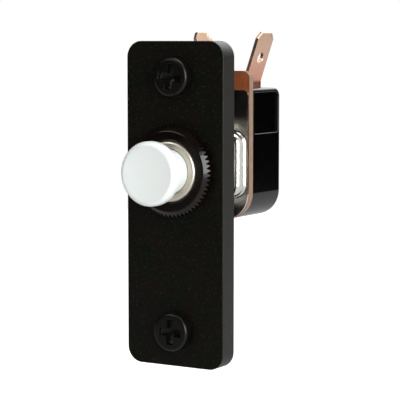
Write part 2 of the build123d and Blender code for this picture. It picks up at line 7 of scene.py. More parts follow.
import bmesh
import bpy
import numpy as np
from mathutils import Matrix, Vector


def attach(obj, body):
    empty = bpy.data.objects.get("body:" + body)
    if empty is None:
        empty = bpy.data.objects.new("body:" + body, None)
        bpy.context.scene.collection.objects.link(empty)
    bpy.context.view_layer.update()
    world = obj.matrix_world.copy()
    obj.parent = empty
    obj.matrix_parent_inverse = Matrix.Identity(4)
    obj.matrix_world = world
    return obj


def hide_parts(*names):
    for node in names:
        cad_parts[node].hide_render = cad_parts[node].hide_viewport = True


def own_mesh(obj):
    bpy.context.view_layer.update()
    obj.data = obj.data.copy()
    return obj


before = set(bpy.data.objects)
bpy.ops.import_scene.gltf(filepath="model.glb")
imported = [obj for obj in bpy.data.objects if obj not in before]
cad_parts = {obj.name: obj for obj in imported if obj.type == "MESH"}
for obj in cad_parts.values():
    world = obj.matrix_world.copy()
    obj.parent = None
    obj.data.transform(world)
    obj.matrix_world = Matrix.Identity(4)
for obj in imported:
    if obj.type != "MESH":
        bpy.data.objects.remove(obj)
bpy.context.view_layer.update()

# Sizes are in millimetres in the frame's axes, and MM carries them to the scene's metres.
Array = np.ndarray
Colour = tuple[float, float, float]
Point = tuple[float, float, float]
Socket = bpy.types.NodeSocket
LOG = logging.getLogger("pushbutton")
MM = 0.001
AXIS_HEIGHT = 6.7
PLATE_FRONT = -4.4
RING_FRONT = -6.8
TINY = 1e-6
MERGED_WITHIN = 0.0008
EMPTY_BELOW = 0.0005
FLAT_WITHIN = 0.4
THREAD_CREST = 0.14
THREAD_FLANKS = 0.72
NOISE_LOW, NOISE_HIGH = 0.3, 0.7
FACTOR_INPUT, FIRST_COLOUR, SECOND_COLOUR, COLOUR_OUTPUT = 0, 6, 7, 2
BEVEL_STEPS = 2
LARGE_FACE_WEIGHT = 60


class Body(Enum):
    """The two rigid bodies that pieces ride on."""

    FIXED = "body"
    BUTTON = "button"


def rounded(points: Array, radii: Sequence[float], steps: int = 8, closed: bool = True) -> Array:
    """Line through points with its corners rounded.

    A corner's arc starts and ends r / tan(half the corner angle) from the corner, and each point
    between is the blend of the two radius vectors by the sines of the swept angles.

    Args:
        points: corners, one row each.
        radii: one radius for each corner; zero keeps the corner.
        steps: segments in each arc.
        closed: whether the last corner runs on to the first.

    Returns:
        The points of the rounded line, one row each.
    """
    corners = np.asarray(points, float)
    pieces: list[Array] = []
    for place, (corner, radius) in enumerate(zip(corners, radii)):
        at_end = not closed and place in (0, len(corners) - 1)
        if radius <= 0 or at_end:
            pieces.append(corner[None])
            continue
        back = corners[place - 1] - corner
        ahead = corners[(place + 1) % len(corners)] - corner
        back, ahead = back / np.linalg.norm(back), ahead / np.linalg.norm(ahead)
        half = np.arccos(np.clip(back @ ahead, -1, 1)) / 2
        middle = corner + (back + ahead) / np.linalg.norm(back + ahead) * radius / np.sin(half)
        first = corner + back * radius / np.tan(half) - middle
        last = corner + ahead * radius / np.tan(half) - middle
        sweep = pi - 2 * half
        turn = np.linspace(0, sweep, steps + 1)[:, None]
        pieces.append(middle + (np.sin(sweep - turn) * first + np.sin(turn) * last) / np.sin(sweep))
    return np.concatenate(pieces)


def divided(points: Array, longest: float, closed: bool = True, like: Optional[Array] = None) -> Array:
    """Line with every run cut into equal parts no longer than the given length.

    Args:
        points: the line's points, one row each.
        longest: the greatest length of a part.
        closed: whether the last point runs on to the first.
        like: a line with as many points, whose runs set the numbers of parts instead.

    Returns:
        The points with the new ones added between them.
    """
    starts = points if closed else points[:-1]
    runs = np.roll(points, -1, axis=0) - points if closed else np.diff(points, axis=0)
    model = points if like is None else like
    lengths = np.linalg.norm((np.roll(model, -1, axis=0) - model)[:len(runs)], axis=1)
    counts = np.maximum(1, np.ceil(lengths / longest - TINY)).astype(int)
    index = np.repeat(np.arange(len(starts)), counts)
    step = np.arange(len(index)) - np.repeat(np.cumsum(counts) - counts, counts)
    line = starts[index] + runs[index] * (step / counts[index])[:, None]
    return line if closed else np.concatenate([line, points[-1:]])


def turned(profile: Array, columns: int = 128, centre: tuple[float, float] = (0.0, AXIS_HEIGHT)) -> Array:
    """Surface of a profile turned round a line parallel to Y.

    Every profile point (r, y) goes to (x + r cos a, y, z + r sin a) for the angles a of a full turn.

    Args:
        profile: rows of (radius, y).
        columns: number of angles round the turn.
        centre: x and z of the line that the profile turns round.

    Returns:
        Grid of points, one row for each profile point and one column for each angle.
    """
    angle = np.arange(columns) * 2 * pi / columns
    radius, along = profile[:, :1], profile[:, 1:]
    return np.stack([centre[0] + radius * np.cos(angle), along + 0 * angle,
                     centre[1] + radius * np.sin(angle)], axis=-1)


def threaded(plain: Array, pitch: float, depth: float, span: tuple[float, float], columns: int = 96,
             centre: tuple[float, float] = (0.0, AXIS_HEIGHT)) -> Array:
    """Turned surface with a screw thread cut into part of it.

    The thread's place p in its pitch is the fraction of y / pitch less the turned share of a full
    turn. The radius is the plain radius less depth times a trapezium wave of p, with a flat crest,
    two straight flanks and a flat root, faded to nothing over half a pitch at both ends of the span.

    Args:
        plain: rows of (radius, y), dense along the span.
        pitch: advance for each turn.
        depth: depth of the thread.
        span: lowest and highest y of the thread.
        columns: number of angles round the turn.
        centre: x and z of the thread's axis.

    Returns:
        Grid of points, one row for each row of the plain profile.
    """
    grid = turned(plain, columns, centre)
    angle = np.arange(columns) * 2 * pi / columns
    place = np.mod(grid[..., 1] / pitch - angle / (2 * pi), 1.0)
    wave = np.clip((np.abs(2 * place - 1) - THREAD_CREST) / THREAD_FLANKS, 0, 1)
    fade = np.clip(np.minimum(grid[..., 1] - span[0], span[1] - grid[..., 1]) / (pitch / 2), 0, 1)
    cut = depth * wave * fade
    grid[..., 0] -= cut * np.cos(angle)
    grid[..., 2] -= cut * np.sin(angle)
    return grid


def round_axis(rows: Sequence[tuple[Array, Array]], angle: Array) -> Array:
    """Surface round the button's axis whose radius and place change with the angle.

    Each point (r, y) at the angle a goes to (r cos a, y, axis height + r sin a).

    Args:
        rows: a pair of radii and places along the axis for each row, one value for each angle.
        angle: the angles.

    Returns:
        Grid of points, one row for each pair.
    """
    return np.stack([np.stack([radius * np.cos(angle), along, AXIS_HEIGHT + radius * np.sin(angle)], axis=-1)
                     for radius, along in rows])


def ruled(first: Array, last: Array, steps: int = 1) -> Array:
    """Surface of straight lines between two curves with the same number of points.

    Args:
        first: the curve at the start, one row for each point.
        last: the curve at the end.
        steps: number of equal steps across.

    Returns:
        Grid of points, (1 - t) times the first curve plus t times the last for t from 0 to 1.
    """
    share = np.linspace(0, 1, steps + 1)[:, None, None]
    return (1 - share) * first[None] + share * last[None]


def upright(line: Array, y: float) -> Array:
    """Points (x, z) of a flat line set upright at the place y along the button's axis."""
    return np.stack([line[:, 0], np.full(len(line), y), line[:, 1]], axis=-1)


def shrunk_to_circle(line: Array, centre: tuple[float, float], radius: float) -> Array:
    """Points of a circle in the same directions from its centre as the points of a line round it."""
    away = line - np.asarray(centre)
    return np.asarray(centre) + radius * away / np.linalg.norm(away, axis=1)[:, None]


class Shape:
    """Grids of points in millimetres, joined into one closed mesh."""

    def __init__(self) -> None:
        """Starts with no points and no faces."""
        self.points: list[Array] = []
        self.faces: list[Array] = []
        self.count = 0

    def add(self, grid: Array, around: bool = True) -> "Shape":
        """Adds a grid of points as rows of four-sided faces.

        Args:
            grid: points, rows by columns by three.
            around: whether the last column joins the first.

        Returns:
            The shape itself.
        """
        rows, columns = grid.shape[:2]
        index = np.arange(rows * columns).reshape(rows, columns)
        if around:
            index = np.concatenate([index, index[:, :1]], axis=1)
        quads = np.stack([index[:-1, :-1], index[:-1, 1:], index[1:, 1:], index[1:, :-1]], axis=-1)
        self.points.append(grid.reshape(-1, 3))
        self.faces.append(quads.reshape(-1, 4) + self.count)
        self.count += rows * columns
        return self

    def mesh(self, name: str) -> bpy.types.Mesh:
        """Joins the grids where they meet and turns every face outwards.

        Args:
            name: name of the new mesh.

        Returns:
            The mesh, in metres.
        """
        mesh = bpy.data.meshes.new(name)
        mesh.from_pydata((np.concatenate(self.points) * MM).tolist(), [],
                         np.concatenate(self.faces).tolist())
        return joined(mesh)


def joined(mesh: bpy.types.Mesh, flatten: bool = False) -> bpy.types.Mesh:
    """Merges a mesh's doubled points, drops empty faces and turns the rest outwards.

    Args:
        mesh: the mesh to clean.
        flatten: whether triangles that lie in one plane become one face.

    Returns:
        The same mesh.
    """
    work = bmesh.new()
    work.from_mesh(mesh)
    bmesh.ops.remove_doubles(work, verts=work.verts, dist=MERGED_WITHIN * MM)
    bmesh.ops.dissolve_degenerate(work, edges=work.edges, dist=EMPTY_BELOW * MM)
    if flatten:
        bmesh.ops.dissolve_limit(work, angle_limit=radians(FLAT_WITHIN), verts=work.verts,
                                 edges=work.edges)
    bmesh.ops.recalc_face_normals(work, faces=work.faces)
    work.to_mesh(mesh)
    work.free()
    return mesh


class Graph:
    """Node tree of one material, with short calls for the nodes that the finishes use."""

    def __init__(self, name: str) -> None:
        """Makes an empty material with an output and one shader.

        Args:
            name: name of the material.
        """
        self.material = bpy.data.materials.new(name)
        self.material.use_nodes = True
        self.tree = self.material.node_tree
        self.tree.nodes.clear()
        self.output = self.tree.nodes.new("ShaderNodeOutputMaterial")
        self.shader = self.tree.nodes.new("ShaderNodeBsdfPrincipled")
        self.tree.links.new(self.shader.outputs[0], self.output.inputs[0])
        self.place = self.tree.nodes.new("ShaderNodeTexCoord").outputs["Object"]

    def plug(self, socket: Socket, value: object) -> None:
        """Gives a socket a link, if the value is a socket itself, or else the value.

        Args:
            socket: the socket to feed.
            value: another socket or a value.
        """
        if isinstance(value, Socket):
            self.tree.links.new(value, socket)
        else:
            socket.default_value = value

    def node(self, kind: str, **values: object) -> bpy.types.Node:
        """Adds a node and sets its inputs or properties by name.

        Args:
            kind: the node's type without its prefix.
            values: sockets (with spaces as underscores) or properties, with their values or links.

        Returns:
            The node.
        """
        node = self.tree.nodes.new("ShaderNode" + kind)
        for key, value in values.items():
            if hasattr(node, key):
                setattr(node, key, value)
            else:
                self.plug(node.inputs[key.replace("_", " ")], value)
        return node

    def stretched(self, scale: Point) -> Socket:
        """Object coordinates with each axis scaled by a Mapping node."""
        return self.node("Mapping", Vector=self.place, Scale=scale).outputs[0]

    def noise(self, scale: float, detail: float = 3.0, roughness: float = 0.55,
              place: Optional[Socket] = None) -> Socket:
        """Value of a noise texture with the given number of cells for each metre."""
        return self.node("TexNoise", Vector=place or self.place, Scale=scale, Detail=detail,
                         Roughness=roughness).outputs["Fac"]

    def ramp(self, value: Socket, low: float, first: Colour, high: float, last: Colour) -> Socket:
        """Colour that goes from the first to the last as a value goes from low to high.

        Args:
            value: the value.
            low: value up to which the first colour stays.
            first: colour at the low end.
            high: value from which the last colour stays.
            last: colour at the high end.

        Returns:
            The colour's socket.
        """
        node = self.node("ValToRGB")
        self.plug(node.inputs[0], value)
        for stop, place, colour in zip(node.color_ramp.elements, (low, high), (first, last)):
            stop.position, stop.color = place, (*colour, 1.0)
        return node.outputs[0]

    def mixed(self, share: Socket, first: Socket, second: object) -> Socket:
        """Colour that goes from the first to the second as a share goes from 0 to 1.

        Args:
            share: the share of the second colour.
            first: the first colour's socket.
            second: the second colour, as a socket or as four numbers.

        Returns:
            The mixed colour's socket.
        """
        node = self.node("Mix", data_type="RGBA")
        self.plug(node.inputs[FACTOR_INPUT], share)
        self.plug(node.inputs[FIRST_COLOUR], first)
        self.plug(node.inputs[SECOND_COLOUR], second)
        return node.outputs[COLOUR_OUTPUT]

    def span(self, value: Socket, low: float, high: float, start: float = 0.0, end: float = 1.0) -> Socket:
        """Value carried from the range start to end over to the range low to high."""
        return self.node("MapRange", Value=value, From_Min=start, From_Max=end, To_Min=low,
                         To_Max=high).outputs[0]

    def uneven(self, value: Socket, level: float, least: float = 0.85, most: float = 1.2) -> Socket:
        """Level times a factor that follows a noise value from the least factor to the most."""
        return self.span(value, level * least, level * most, NOISE_LOW, NOISE_HIGH)

    def frontal(self) -> Socket:
        """How far the surface faces along the button's axis, from 0 across it to 1 along it."""
        facing = self.node("SeparateXYZ", Vector=self.place.node.outputs["Normal"])
        return self.node("Math", operation="ABSOLUTE", Value=facing.outputs[1]).outputs[0]

    def bump(self, height: Socket, strength: float, depth: float, under: Optional[Socket] = None) -> Socket:
        """Surface normal of a height, over another normal if one is given.

        Args:
            height: the height, from 0 to 1.
            strength: share of the bump that is shown.
            depth: depth of the bump in millimetres.
            under: normal that the bump lies on, or None for the surface's own.

        Returns:
            The normal's socket.
        """
        node = self.node("Bump", Height=height, Strength=strength, Distance=depth * MM)
        if under is not None:
            self.plug(node.inputs["Normal"], under)
        return node.outputs[0]

    def feed(self, **values: object) -> bpy.types.Material:
        """Feeds the shader's sockets by name.

        Args:
            values: sockets (with spaces as underscores) with their values or links.

        Returns:
            The material.
        """
        for key, value in values.items():
            self.plug(self.shader.inputs[key.replace("_", " ")], value)
        return self.material


def shaded(colour: Colour, factor: float) -> Colour:
    """Colour made darker or lighter by a factor, up to white."""
    return tuple(min(1.0, factor * part) for part in colour)


@dataclass(frozen=True)
class Paint:
    """Black coat on metal: two close shades in clouds, fine grain and pale specks.

    Faces that look along the button's axis have one gloss, and the faces across it another.
    """

    name: str
    colour: Colour
    cloud: Colour
    roughness: float
    gloss: float
    side_gloss: float
    grain: float = 900.0
    finer: float = 6.0
    relief: float = 0.25
    fine_share: float = 0.6
    specks: float = 0.0
    cloud_cells: float = 190.0
    speck_cells: float = 2300.0
    speck_colour: Colour = (0.05, 0.05, 0.036)
    side_from: float = 0.8
    front_from: float = 0.97

    def material(self) -> bpy.types.Material:
        """Builds the coat's material.

        Returns:
            The material.
        """
        graph = Graph(self.name)
        fine = graph.noise(self.grain * self.finer, detail=2.0, roughness=0.6)
        clouds = graph.noise(self.cloud_cells, detail=5.0, roughness=0.7)
        dust = graph.noise(self.speck_cells, detail=1.5, roughness=0.5)
        shade = graph.ramp(clouds, low=0.38, first=self.colour, high=0.62, last=self.cloud)
        specks = graph.span(dust, 0.0, self.specks, start=0.58, end=0.72)
        coarse = graph.bump(graph.noise(self.grain, detail=2.0), self.relief, depth=0.02)
        return graph.feed(
            Base_Color=graph.mixed(specks, shade, (*self.speck_colour, 1.0)),
            Roughness=graph.uneven(fine, self.roughness),
            Specular_IOR_Level=graph.span(graph.frontal(), self.side_gloss, self.gloss,
                                          self.side_from, self.front_from),
            Normal=graph.bump(fine, self.relief * self.fine_share, depth=0.01, under=coarse))


@dataclass(frozen=True)
class Plating:
    """Bright plated metal: a thin haze, faint drawing marks and uneven gloss."""

    name: str
    colour: Colour
    roughness: float
    marks: float = 0.05
    paler: float = 1.08
    haze_cells: float = 220.0
    mark_cells: float = 900.0
    drawn: Point = (0.2, 3.0, 0.2)

    def material(self) -> bpy.types.Material:
        """Builds the plating's material.

        Returns:
            The material.
        """
        graph = Graph(self.name)
        haze = graph.noise(self.haze_cells, detail=4.0)
        lines = graph.noise(self.mark_cells, roughness=0.6, place=graph.stretched(self.drawn))
        return graph.feed(
            Base_Color=graph.ramp(haze, NOISE_LOW, self.colour, NOISE_HIGH, shaded(self.colour, self.paler)),
            Metallic=1.0,
            Roughness=graph.uneven(haze, self.roughness, least=0.7, most=1.5),
            Normal=graph.bump(lines, self.marks, depth=0.01))


@dataclass(frozen=True)
class Moulding:
    """Moulded plastic: even colour, a faint flow pattern or fine spots, and a soft skin."""

    name: str
    colour: Colour
    roughness: float
    gloss: float = 0.5
    subsurface: float = 0.0
    spots: float = 0.0
    unevenness: float = 0.03
    skin_relief: float = 0.08
    flow_cells: float = 45.0
    skin_cells: float = 3500.0
    spot_cells: float = 1400.0
    light_reach: float = 1.5

    def material(self) -> bpy.types.Material:
        """Builds the plastic's material.

        Returns:
            The material.
        """
        graph = Graph(self.name)
        flow = graph.noise(self.flow_cells)
        pattern = graph.noise(self.spot_cells, detail=2.0) if self.spots else flow
        skin = graph.noise(self.skin_cells, detail=2.0)
        dark = shaded(self.colour, 1 - self.unevenness - 0.3 * self.spots)
        pale = shaded(self.colour, 1 + self.unevenness + self.spots)
        return graph.feed(
            Base_Color=graph.ramp(pattern, low=0.35, first=dark, high=0.65, last=pale),
            Roughness=graph.uneven(flow, self.roughness),
            Specular_IOR_Level=self.gloss,
            Subsurface_Weight=self.subsurface,
            Subsurface_Scale=self.light_reach * MM,
            Normal=graph.bump(skin, self.skin_relief, depth=0.01))


@dataclass(frozen=True)
class Laminate:
    """Brown phenolic paper board: pressed faces with faint fibres, paler cut edges in layers."""

    name: str
    colour: Colour
    cut: Colour
    roughness: float
    fibre_cells: float = 500.0
    fibre_stretch: Point = (1.0, 1.0, 0.18)
    layer_cells: float = 2600.0
    layer_stretch: Point = (0.3, 1.0, 0.3)
    edge_below: float = 0.55
    face_above: float = 0.85

    def material(self) -> bpy.types.Material:
        """Builds the board's material.

        Returns:
            The material.
        """
        graph = Graph(self.name)
        fibres = graph.noise(self.fibre_cells, 4.0, 0.65, graph.stretched(self.fibre_stretch))
        layers = graph.noise(self.layer_cells, 4.0, 0.7, graph.stretched(self.layer_stretch))
        face = graph.ramp(fibres, low=0.35, first=shaded(self.colour, 0.8),
                          high=0.65, last=shaded(self.colour, 1.25))
        edge = graph.ramp(layers, low=NOISE_LOW, first=shaded(self.cut, 0.72),
                          high=NOISE_HIGH, last=shaded(self.cut, 1.22))
        pressed = graph.span(graph.frontal(), 0.0, 1.0, start=self.edge_below, end=self.face_above)
        return graph.feed(
            Base_Color=graph.mixed(pressed, edge, face),
            Roughness=graph.uneven(fibres, self.roughness),
            Normal=graph.bump(fibres, strength=0.15, depth=0.02))


@dataclass(frozen=True)
class TinnedCopper:
    """Copper alloy strip: pale at the tip, warmer lower down, with rolling marks and tarnish."""

    name: str
    pale: Colour
    warm: Colour
    roughness: float
    warm_below: float = 22.5
    pale_above: float = 30.0
    tarnish: float = 0.35
    cloud_cells: float = 260.0
    mark_cells: float = 1800.0
    rolled: Point = (1.0, 1.0, 0.08)

    def material(self) -> bpy.types.Material:
        """Builds the strip's material.

        Returns:
            The material.
        """
        graph = Graph(self.name)
        height = graph.node("SeparateXYZ", Vector=graph.place).outputs[2]
        rise = graph.span(height, 0.0, 1.0, self.warm_below * MM, self.pale_above * MM)
        cloud = graph.noise(self.cloud_cells, detail=4.0)
        marks = graph.noise(self.mark_cells, roughness=0.6, place=graph.stretched(self.rolled))
        blend = graph.node("Mix", data_type="FLOAT", Factor=self.tarnish, A=rise, B=cloud).outputs[0]
        return graph.feed(
            Base_Color=graph.ramp(blend, low=0.2, first=self.warm, high=0.75, last=self.pale),
            Metallic=1.0,
            Roughness=graph.uneven(cloud, self.roughness, most=1.25),
            Normal=graph.bump(marks, strength=0.12, depth=0.01))


class Finish(Enum):
    """Finishes of the switch, each named by its slot in the record."""

    PLATE = Paint("plate_paint", colour=(0.0018, 0.0030, 0.0012), cloud=(0.0046, 0.0028, 0.0020),
                  roughness=0.42, gloss=0.09, side_gloss=0.45, specks=0.25)
    SCREW = Paint("screw_black", colour=(0.0026, 0.0024, 0.0020), cloud=(0.0040, 0.0034, 0.0028),
                  roughness=0.3, gloss=0.14, side_gloss=0.3, grain=1500.0, relief=0.12)
    RING = Paint("ring_black", colour=(0.0034, 0.0020, 0.0014), cloud=(0.0052, 0.0030, 0.0020),
                 roughness=0.17, gloss=0.12, side_gloss=0.36, grain=1500.0, relief=0.06)
    WASHER = Plating("washer_steel", colour=(0.6, 0.58, 0.55), roughness=0.35)
    NUT = Plating("nut_nickel", colour=(0.68, 0.65, 0.6), roughness=0.22)
    BUSHING = Plating("bushing_nickel", colour=(0.64, 0.59, 0.50), roughness=0.42)
    FRAME = Plating("frame_nickel", colour=(0.80, 0.79, 0.75), roughness=0.15, marks=0.12)
    BOARD = Laminate("board_phenolic", colour=(0.24, 0.062, 0.018), cut=(0.28, 0.19, 0.13), roughness=0.5)
    CASE = Moulding("case_phenolic", colour=(0.0005, 0.0005, 0.0005), roughness=0.1, gloss=0.42, spots=0.1)
    RIVET = Plating("rivet_steel", colour=(0.62, 0.6, 0.56), roughness=0.28)
    TERMINAL = TinnedCopper("terminal_copper", pale=(0.86, 0.58, 0.42), warm=(0.9, 0.36, 0.26),
                            roughness=0.3)
    CONTACT = Plating("contact_silver", colour=(0.85, 0.84, 0.8), roughness=0.25)
    BUTTON = Moulding("button_white", colour=(0.83, 0.87, 0.85), roughness=0.3, subsurface=0.08)
    PLUNGER = Moulding("plunger_black", colour=(0.02, 0.02, 0.02), roughness=0.45)
    BRIDGE = TinnedCopper("bridge_copper", pale=(0.72, 0.4, 0.26), warm=(0.66, 0.33, 0.2), roughness=0.32)
    SPRING = Plating("spring_steel", colour=(0.62, 0.61, 0.58), roughness=0.24)

    @property
    def slot(self) -> str:
        """Name of the record's material slot."""
        return self.value.name


class Workshop:
    """Makes finished pieces: keeps one material for each finish and reports what it made."""

    def __init__(self) -> None:
        """Starts with no materials."""
        self.materials: dict[Finish, bpy.types.Material] = {}

    def material(self, finish: Finish) -> bpy.types.Material:
        """Material of a finish, made when it is first asked for.

        Args:
            finish: the finish.

        Returns:
            The finish's one material.
        """
        if finish not in self.materials:
            self.materials[finish] = finish.value.material()
        return self.materials[finish]

    def piece(self, name: str, mesh: bpy.types.Mesh, finish: Finish, body: Body, nodes: Sequence[str],
              sharp: float = 32.0, bevel: float = 0.0) -> bpy.types.Object:
        """Puts a mesh into the scene as a finished piece that stands for CAD nodes.

        Args:
            name: name of the piece.
            mesh: its mesh, in metres in the frame's axes.
            finish: its finish.
            body: the body that it rides on.
            nodes: the CAD nodes that it stands for.
            sharp: angle in degrees above which an edge stays sharp.
            bevel: width in millimetres of a small bevel on those edges, or zero.

        Returns:
            The object.
        """
        piece = bpy.data.objects.new(name, mesh)
        bpy.context.scene.collection.objects.link(piece)
        mesh.polygons.foreach_set("use_smooth", np.ones(len(mesh.polygons), bool))
        mesh.set_sharp_from_angle(angle=radians(sharp))
        mesh.materials.clear()
        mesh.materials.append(self.material(finish))
        if bevel:
            edge = piece.modifiers.new("edges", "BEVEL")
            edge.width, edge.segments, edge.limit_method = bevel * MM, BEVEL_STEPS, "ANGLE"
            edge.angle_limit = radians(sharp)
            edge.miter_outer = "MITER_ARC"
        normals = piece.modifiers.new("normals", "WEIGHTED_NORMAL")
        normals.keep_sharp, normals.weight = True, LARGE_FACE_WEIGHT
        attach(piece, body.value)
        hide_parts(*nodes)
        LOG.info("%s: %d faces", name, len(mesh.polygons))
        return piece

    def refined(self, node: str, finish: Finish, body: Body, bevel: float = 0.0,
                sharp: float = 24.0) -> bpy.types.Object:
        """Stands a joined, smooth-shaded copy of a CAD node's mesh in the node's place.

        Args:
            node: name of the CAD node.
            finish: its finish.
            body: the body that it rides on.
            bevel: width in millimetres of a small bevel on its sharp edges, or zero.
            sharp: angle in degrees above which an edge stays sharp.

        Returns:
            The object.
        """
        mesh = joined(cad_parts[node].data.copy(), flatten=True)
        return self.piece(node + "_dressed", mesh, finish, body, [node], sharp, bevel)


@dataclass
class FacePlate:
    """Thick black plate and its two pan-head screws."""

    half_width: float = 11.0
    half_height: float = 32.0
    corner: float = 3.2
    edge: float = 0.15
    upper_cut: float = 16.6
    lower_cut: float = -3.4
    bushing_hole: float = 6.05
    spot_face: float = 9.4
    spot_depth: float = 0.6
    screw_hole: float = 2.23
    screw_place: float = 25.0
    upper_turn: float = 9.0
    lower_turn: float = 3.0
    step: float = 1.1
    corner_steps: int = 14
    edge_steps: int = 7
    hole_rings: int = 4

    def outline(self, inset: float) -> Array:
        """Plate's outline, with points where its face is cut into bands.

        Args:
            inset: distance by which the outline is drawn in.

        Returns:
            Points (x, z) of a rectangle with rounded corners.
        """
        x, z, r = self.half_width - inset, self.half_height - inset, self.corner - inset
        corners = [(x, self.lower_cut), (x, self.upper_cut), (x, z), (-x, z), (-x, self.upper_cut),
                   (-x, self.lower_cut), (-x, -z), (x, -z)]
        line = rounded(np.array(corners), [0, 0, r, r, 0, 0, r, r], self.corner_steps)
        return divided(line, self.step)

    def band(self, inset: float, low: float, high: float) -> Array:
        """Closed outline of the part of the plate's face between two heights.

        Args:
            inset: distance by which the plate's outline is drawn in.
            low: height of the band's lower side.
            high: height of its upper side.

        Returns:
            Points (x, z), sorted by their angle round the band's middle.
        """
        line = self.outline(inset)
        part = line[(line[:, 1] > low - TINY) & (line[:, 1] < high + TINY)]
        angle = np.arctan2(part[:, 1] - (low + high) / 2, part[:, 0])
        return divided(part[np.argsort(angle)], self.step)

    def plate(self) -> bpy.types.Mesh:
        """Plate with a rounded front edge, bevelled back edge, three holes and the spot face.

        The rim is the outline drawn in by e (1 - sin a) at the depth e (1 - cos a) for the angles a
        of a quarter turn, with e the size of the edge. Each face is cut into a band for each hole,
        ruled from the band's outline to the circle in the same directions from the hole's middle.

        Returns:
            The mesh.
        """
        shape = Shape()
        turn = np.linspace(0, pi / 2, self.edge_steps)
        rim = [(self.edge * (1 - sin(a)), PLATE_FRONT + self.edge * (1 - cos(a))) for a in turn]
        rim += [(0.0, -self.edge), (self.edge, 0.0)]
        shape.add(np.stack([upright(self.outline(inset), y) for inset, y in rim]))
        bands = [(-self.half_height, self.lower_cut, -self.screw_place, self.screw_hole, self.screw_hole),
                 (self.lower_cut, self.upper_cut, AXIS_HEIGHT, self.bushing_hole, self.spot_face),
                 (self.upper_cut, self.half_height, self.screw_place, self.screw_hole, self.screw_hole)]
        for low, high, place, front_hole, back_hole in bands:
            line = self.band(self.edge, low, high)
            front_ring = shrunk_to_circle(line, (0, place), front_hole)
            back_ring = shrunk_to_circle(line, (0, place), back_hole)
            front, back = upright(front_ring, PLATE_FRONT), upright(back_ring, 0.0)
            floor, step = upright(front_ring, -self.spot_depth), upright(back_ring, -self.spot_depth)
            shape.add(ruled(upright(line, PLATE_FRONT), front, self.hole_rings))
            shape.add(ruled(upright(line, 0.0), back, self.hole_rings))
            shape.add(np.stack([front, floor, step, back]))
        return shape.mesh("mounting_plate_coated")

    def build(self, shop: Workshop) -> None:
        """Makes the plate and its screws.

        Args:
            shop: the workshop that finishes the pieces.
        """
        shop.piece("mounting_plate_coated", self.plate(), Finish.PLATE, Body.FIXED, ["mounting_plate"])
        PanScrew(self.screw_place, self.upper_turn).build(shop, "upper_screw")
        PanScrew(-self.screw_place, self.lower_turn).build(shop, "lower_screw")


@dataclass
class PanScrew:
    """Pan-head screw with a cross recess and a threaded end behind the plate."""

    height: float
    turn: float
    head: float = 3.85
    thickness: float = 2.0
    rounding: float = 0.7
    crown: float = 0.06
    foot: float = 0.12
    neck: float = 1.9
    stud: float = 2.08
    tip: float = 8.3
    tip_bevel: float = 0.5
    pitch: float = 0.79
    depth: float = 0.4
    thread_start: float = 0.15
    run_out: float = 0.1
    wing: float = 2.62
    slot: float = 0.8
    recess: float = 1.7
    rise: float = 0.62
    rise_power: float = 1.3
    flare: float = 0.12
    flare_radius: float = 1.2
    side_wall: float = 0.2
    end_wall: float = 0.35
    sharp: float = 38.0
    rings: int = 84
    rows: int = 9
    columns: int = 240

    def sunk(self, radius: Array, angle: Array) -> Array:
        """Depth of the cross recess at points of the head.

        The distance inside the nearer of two crossed bars, which flare towards the middle, is
        carried through a smooth step over the width of the tapered walls, and the floor rises from
        the middle towards the bars' ends.

        Args:
            radius: distances from the screw's axis.
            angle: angles round it.

        Returns:
            Depths below the head's face.
        """
        spin = radians(self.turn)
        x = radius * (np.cos(angle) * cos(spin) - np.sin(angle) * sin(spin))
        z = radius * (np.cos(angle) * sin(spin) + np.sin(angle) * cos(spin))
        flare = self.flare * np.clip(1 - radius / self.flare_radius, 0, 1)
        ends = self.wing - np.maximum(np.abs(x), np.abs(z))
        sides = self.slot - np.minimum(np.abs(x), np.abs(z)) + flare
        inside = np.clip(np.minimum(sides / self.side_wall, ends / self.end_wall), 0, 1)
        floor = self.recess * (1 - self.rise * np.clip(radius / self.wing, 0, 1) ** self.rise_power)
        return floor * inside * inside * (3 - 2 * inside)

    def mesh(self) -> bpy.types.Mesh:
        """Head, neck and threaded end as one closed surface.

        The head's face is a shallow dome: it falls back by the crown times the square of the share
        of the radius. The whole profile is turned round the screw's axis.

        Returns:
            The mesh.
        """
        front = PLATE_FRONT - self.thickness
        flat = np.linspace(0, self.head - self.rounding, self.rings)
        face = front + self.crown * (flat / flat[-1]) ** 2
        corners = [(self.head - self.rounding, front + self.crown), (self.head, front + self.crown),
                   (self.head, PLATE_FRONT - self.foot), (self.head - self.foot, PLATE_FRONT)]
        side = rounded(np.array(corners), [0, self.rounding, self.foot, 0], self.rows, closed=False)
        shoulder = self.tip - self.tip_bevel
        along = np.arange(self.thread_start, shoulder, self.pitch / self.rows)
        shank = [(self.neck, PLATE_FRONT), (self.neck, 0.0), (self.stud, 0.0)]
        end = [(self.stud, shoulder), (self.stud - self.tip_bevel, self.tip), (0.0, self.tip)]
        profile = np.concatenate([np.column_stack([flat, face]), side[1:], np.array(shank),
                                  np.column_stack([np.full(len(along), self.stud), along]), np.array(end)])
        span = (self.run_out, self.tip - self.run_out)
        grid = threaded(profile, self.pitch, self.depth, span, self.columns, (0.0, self.height))
        angle = np.arange(self.columns) * 2 * pi / self.columns
        grid[:len(flat), :, 1] += self.sunk(flat[:, None], angle[None])
        return Shape().add(grid).mesh("screw")

    def build(self, shop: Workshop, node: str) -> None:
        """Makes the screw in the place of its CAD node."""
        shop.piece(node + "_cross", self.mesh(), Finish.SCREW, Body.FIXED, [node], self.sharp)


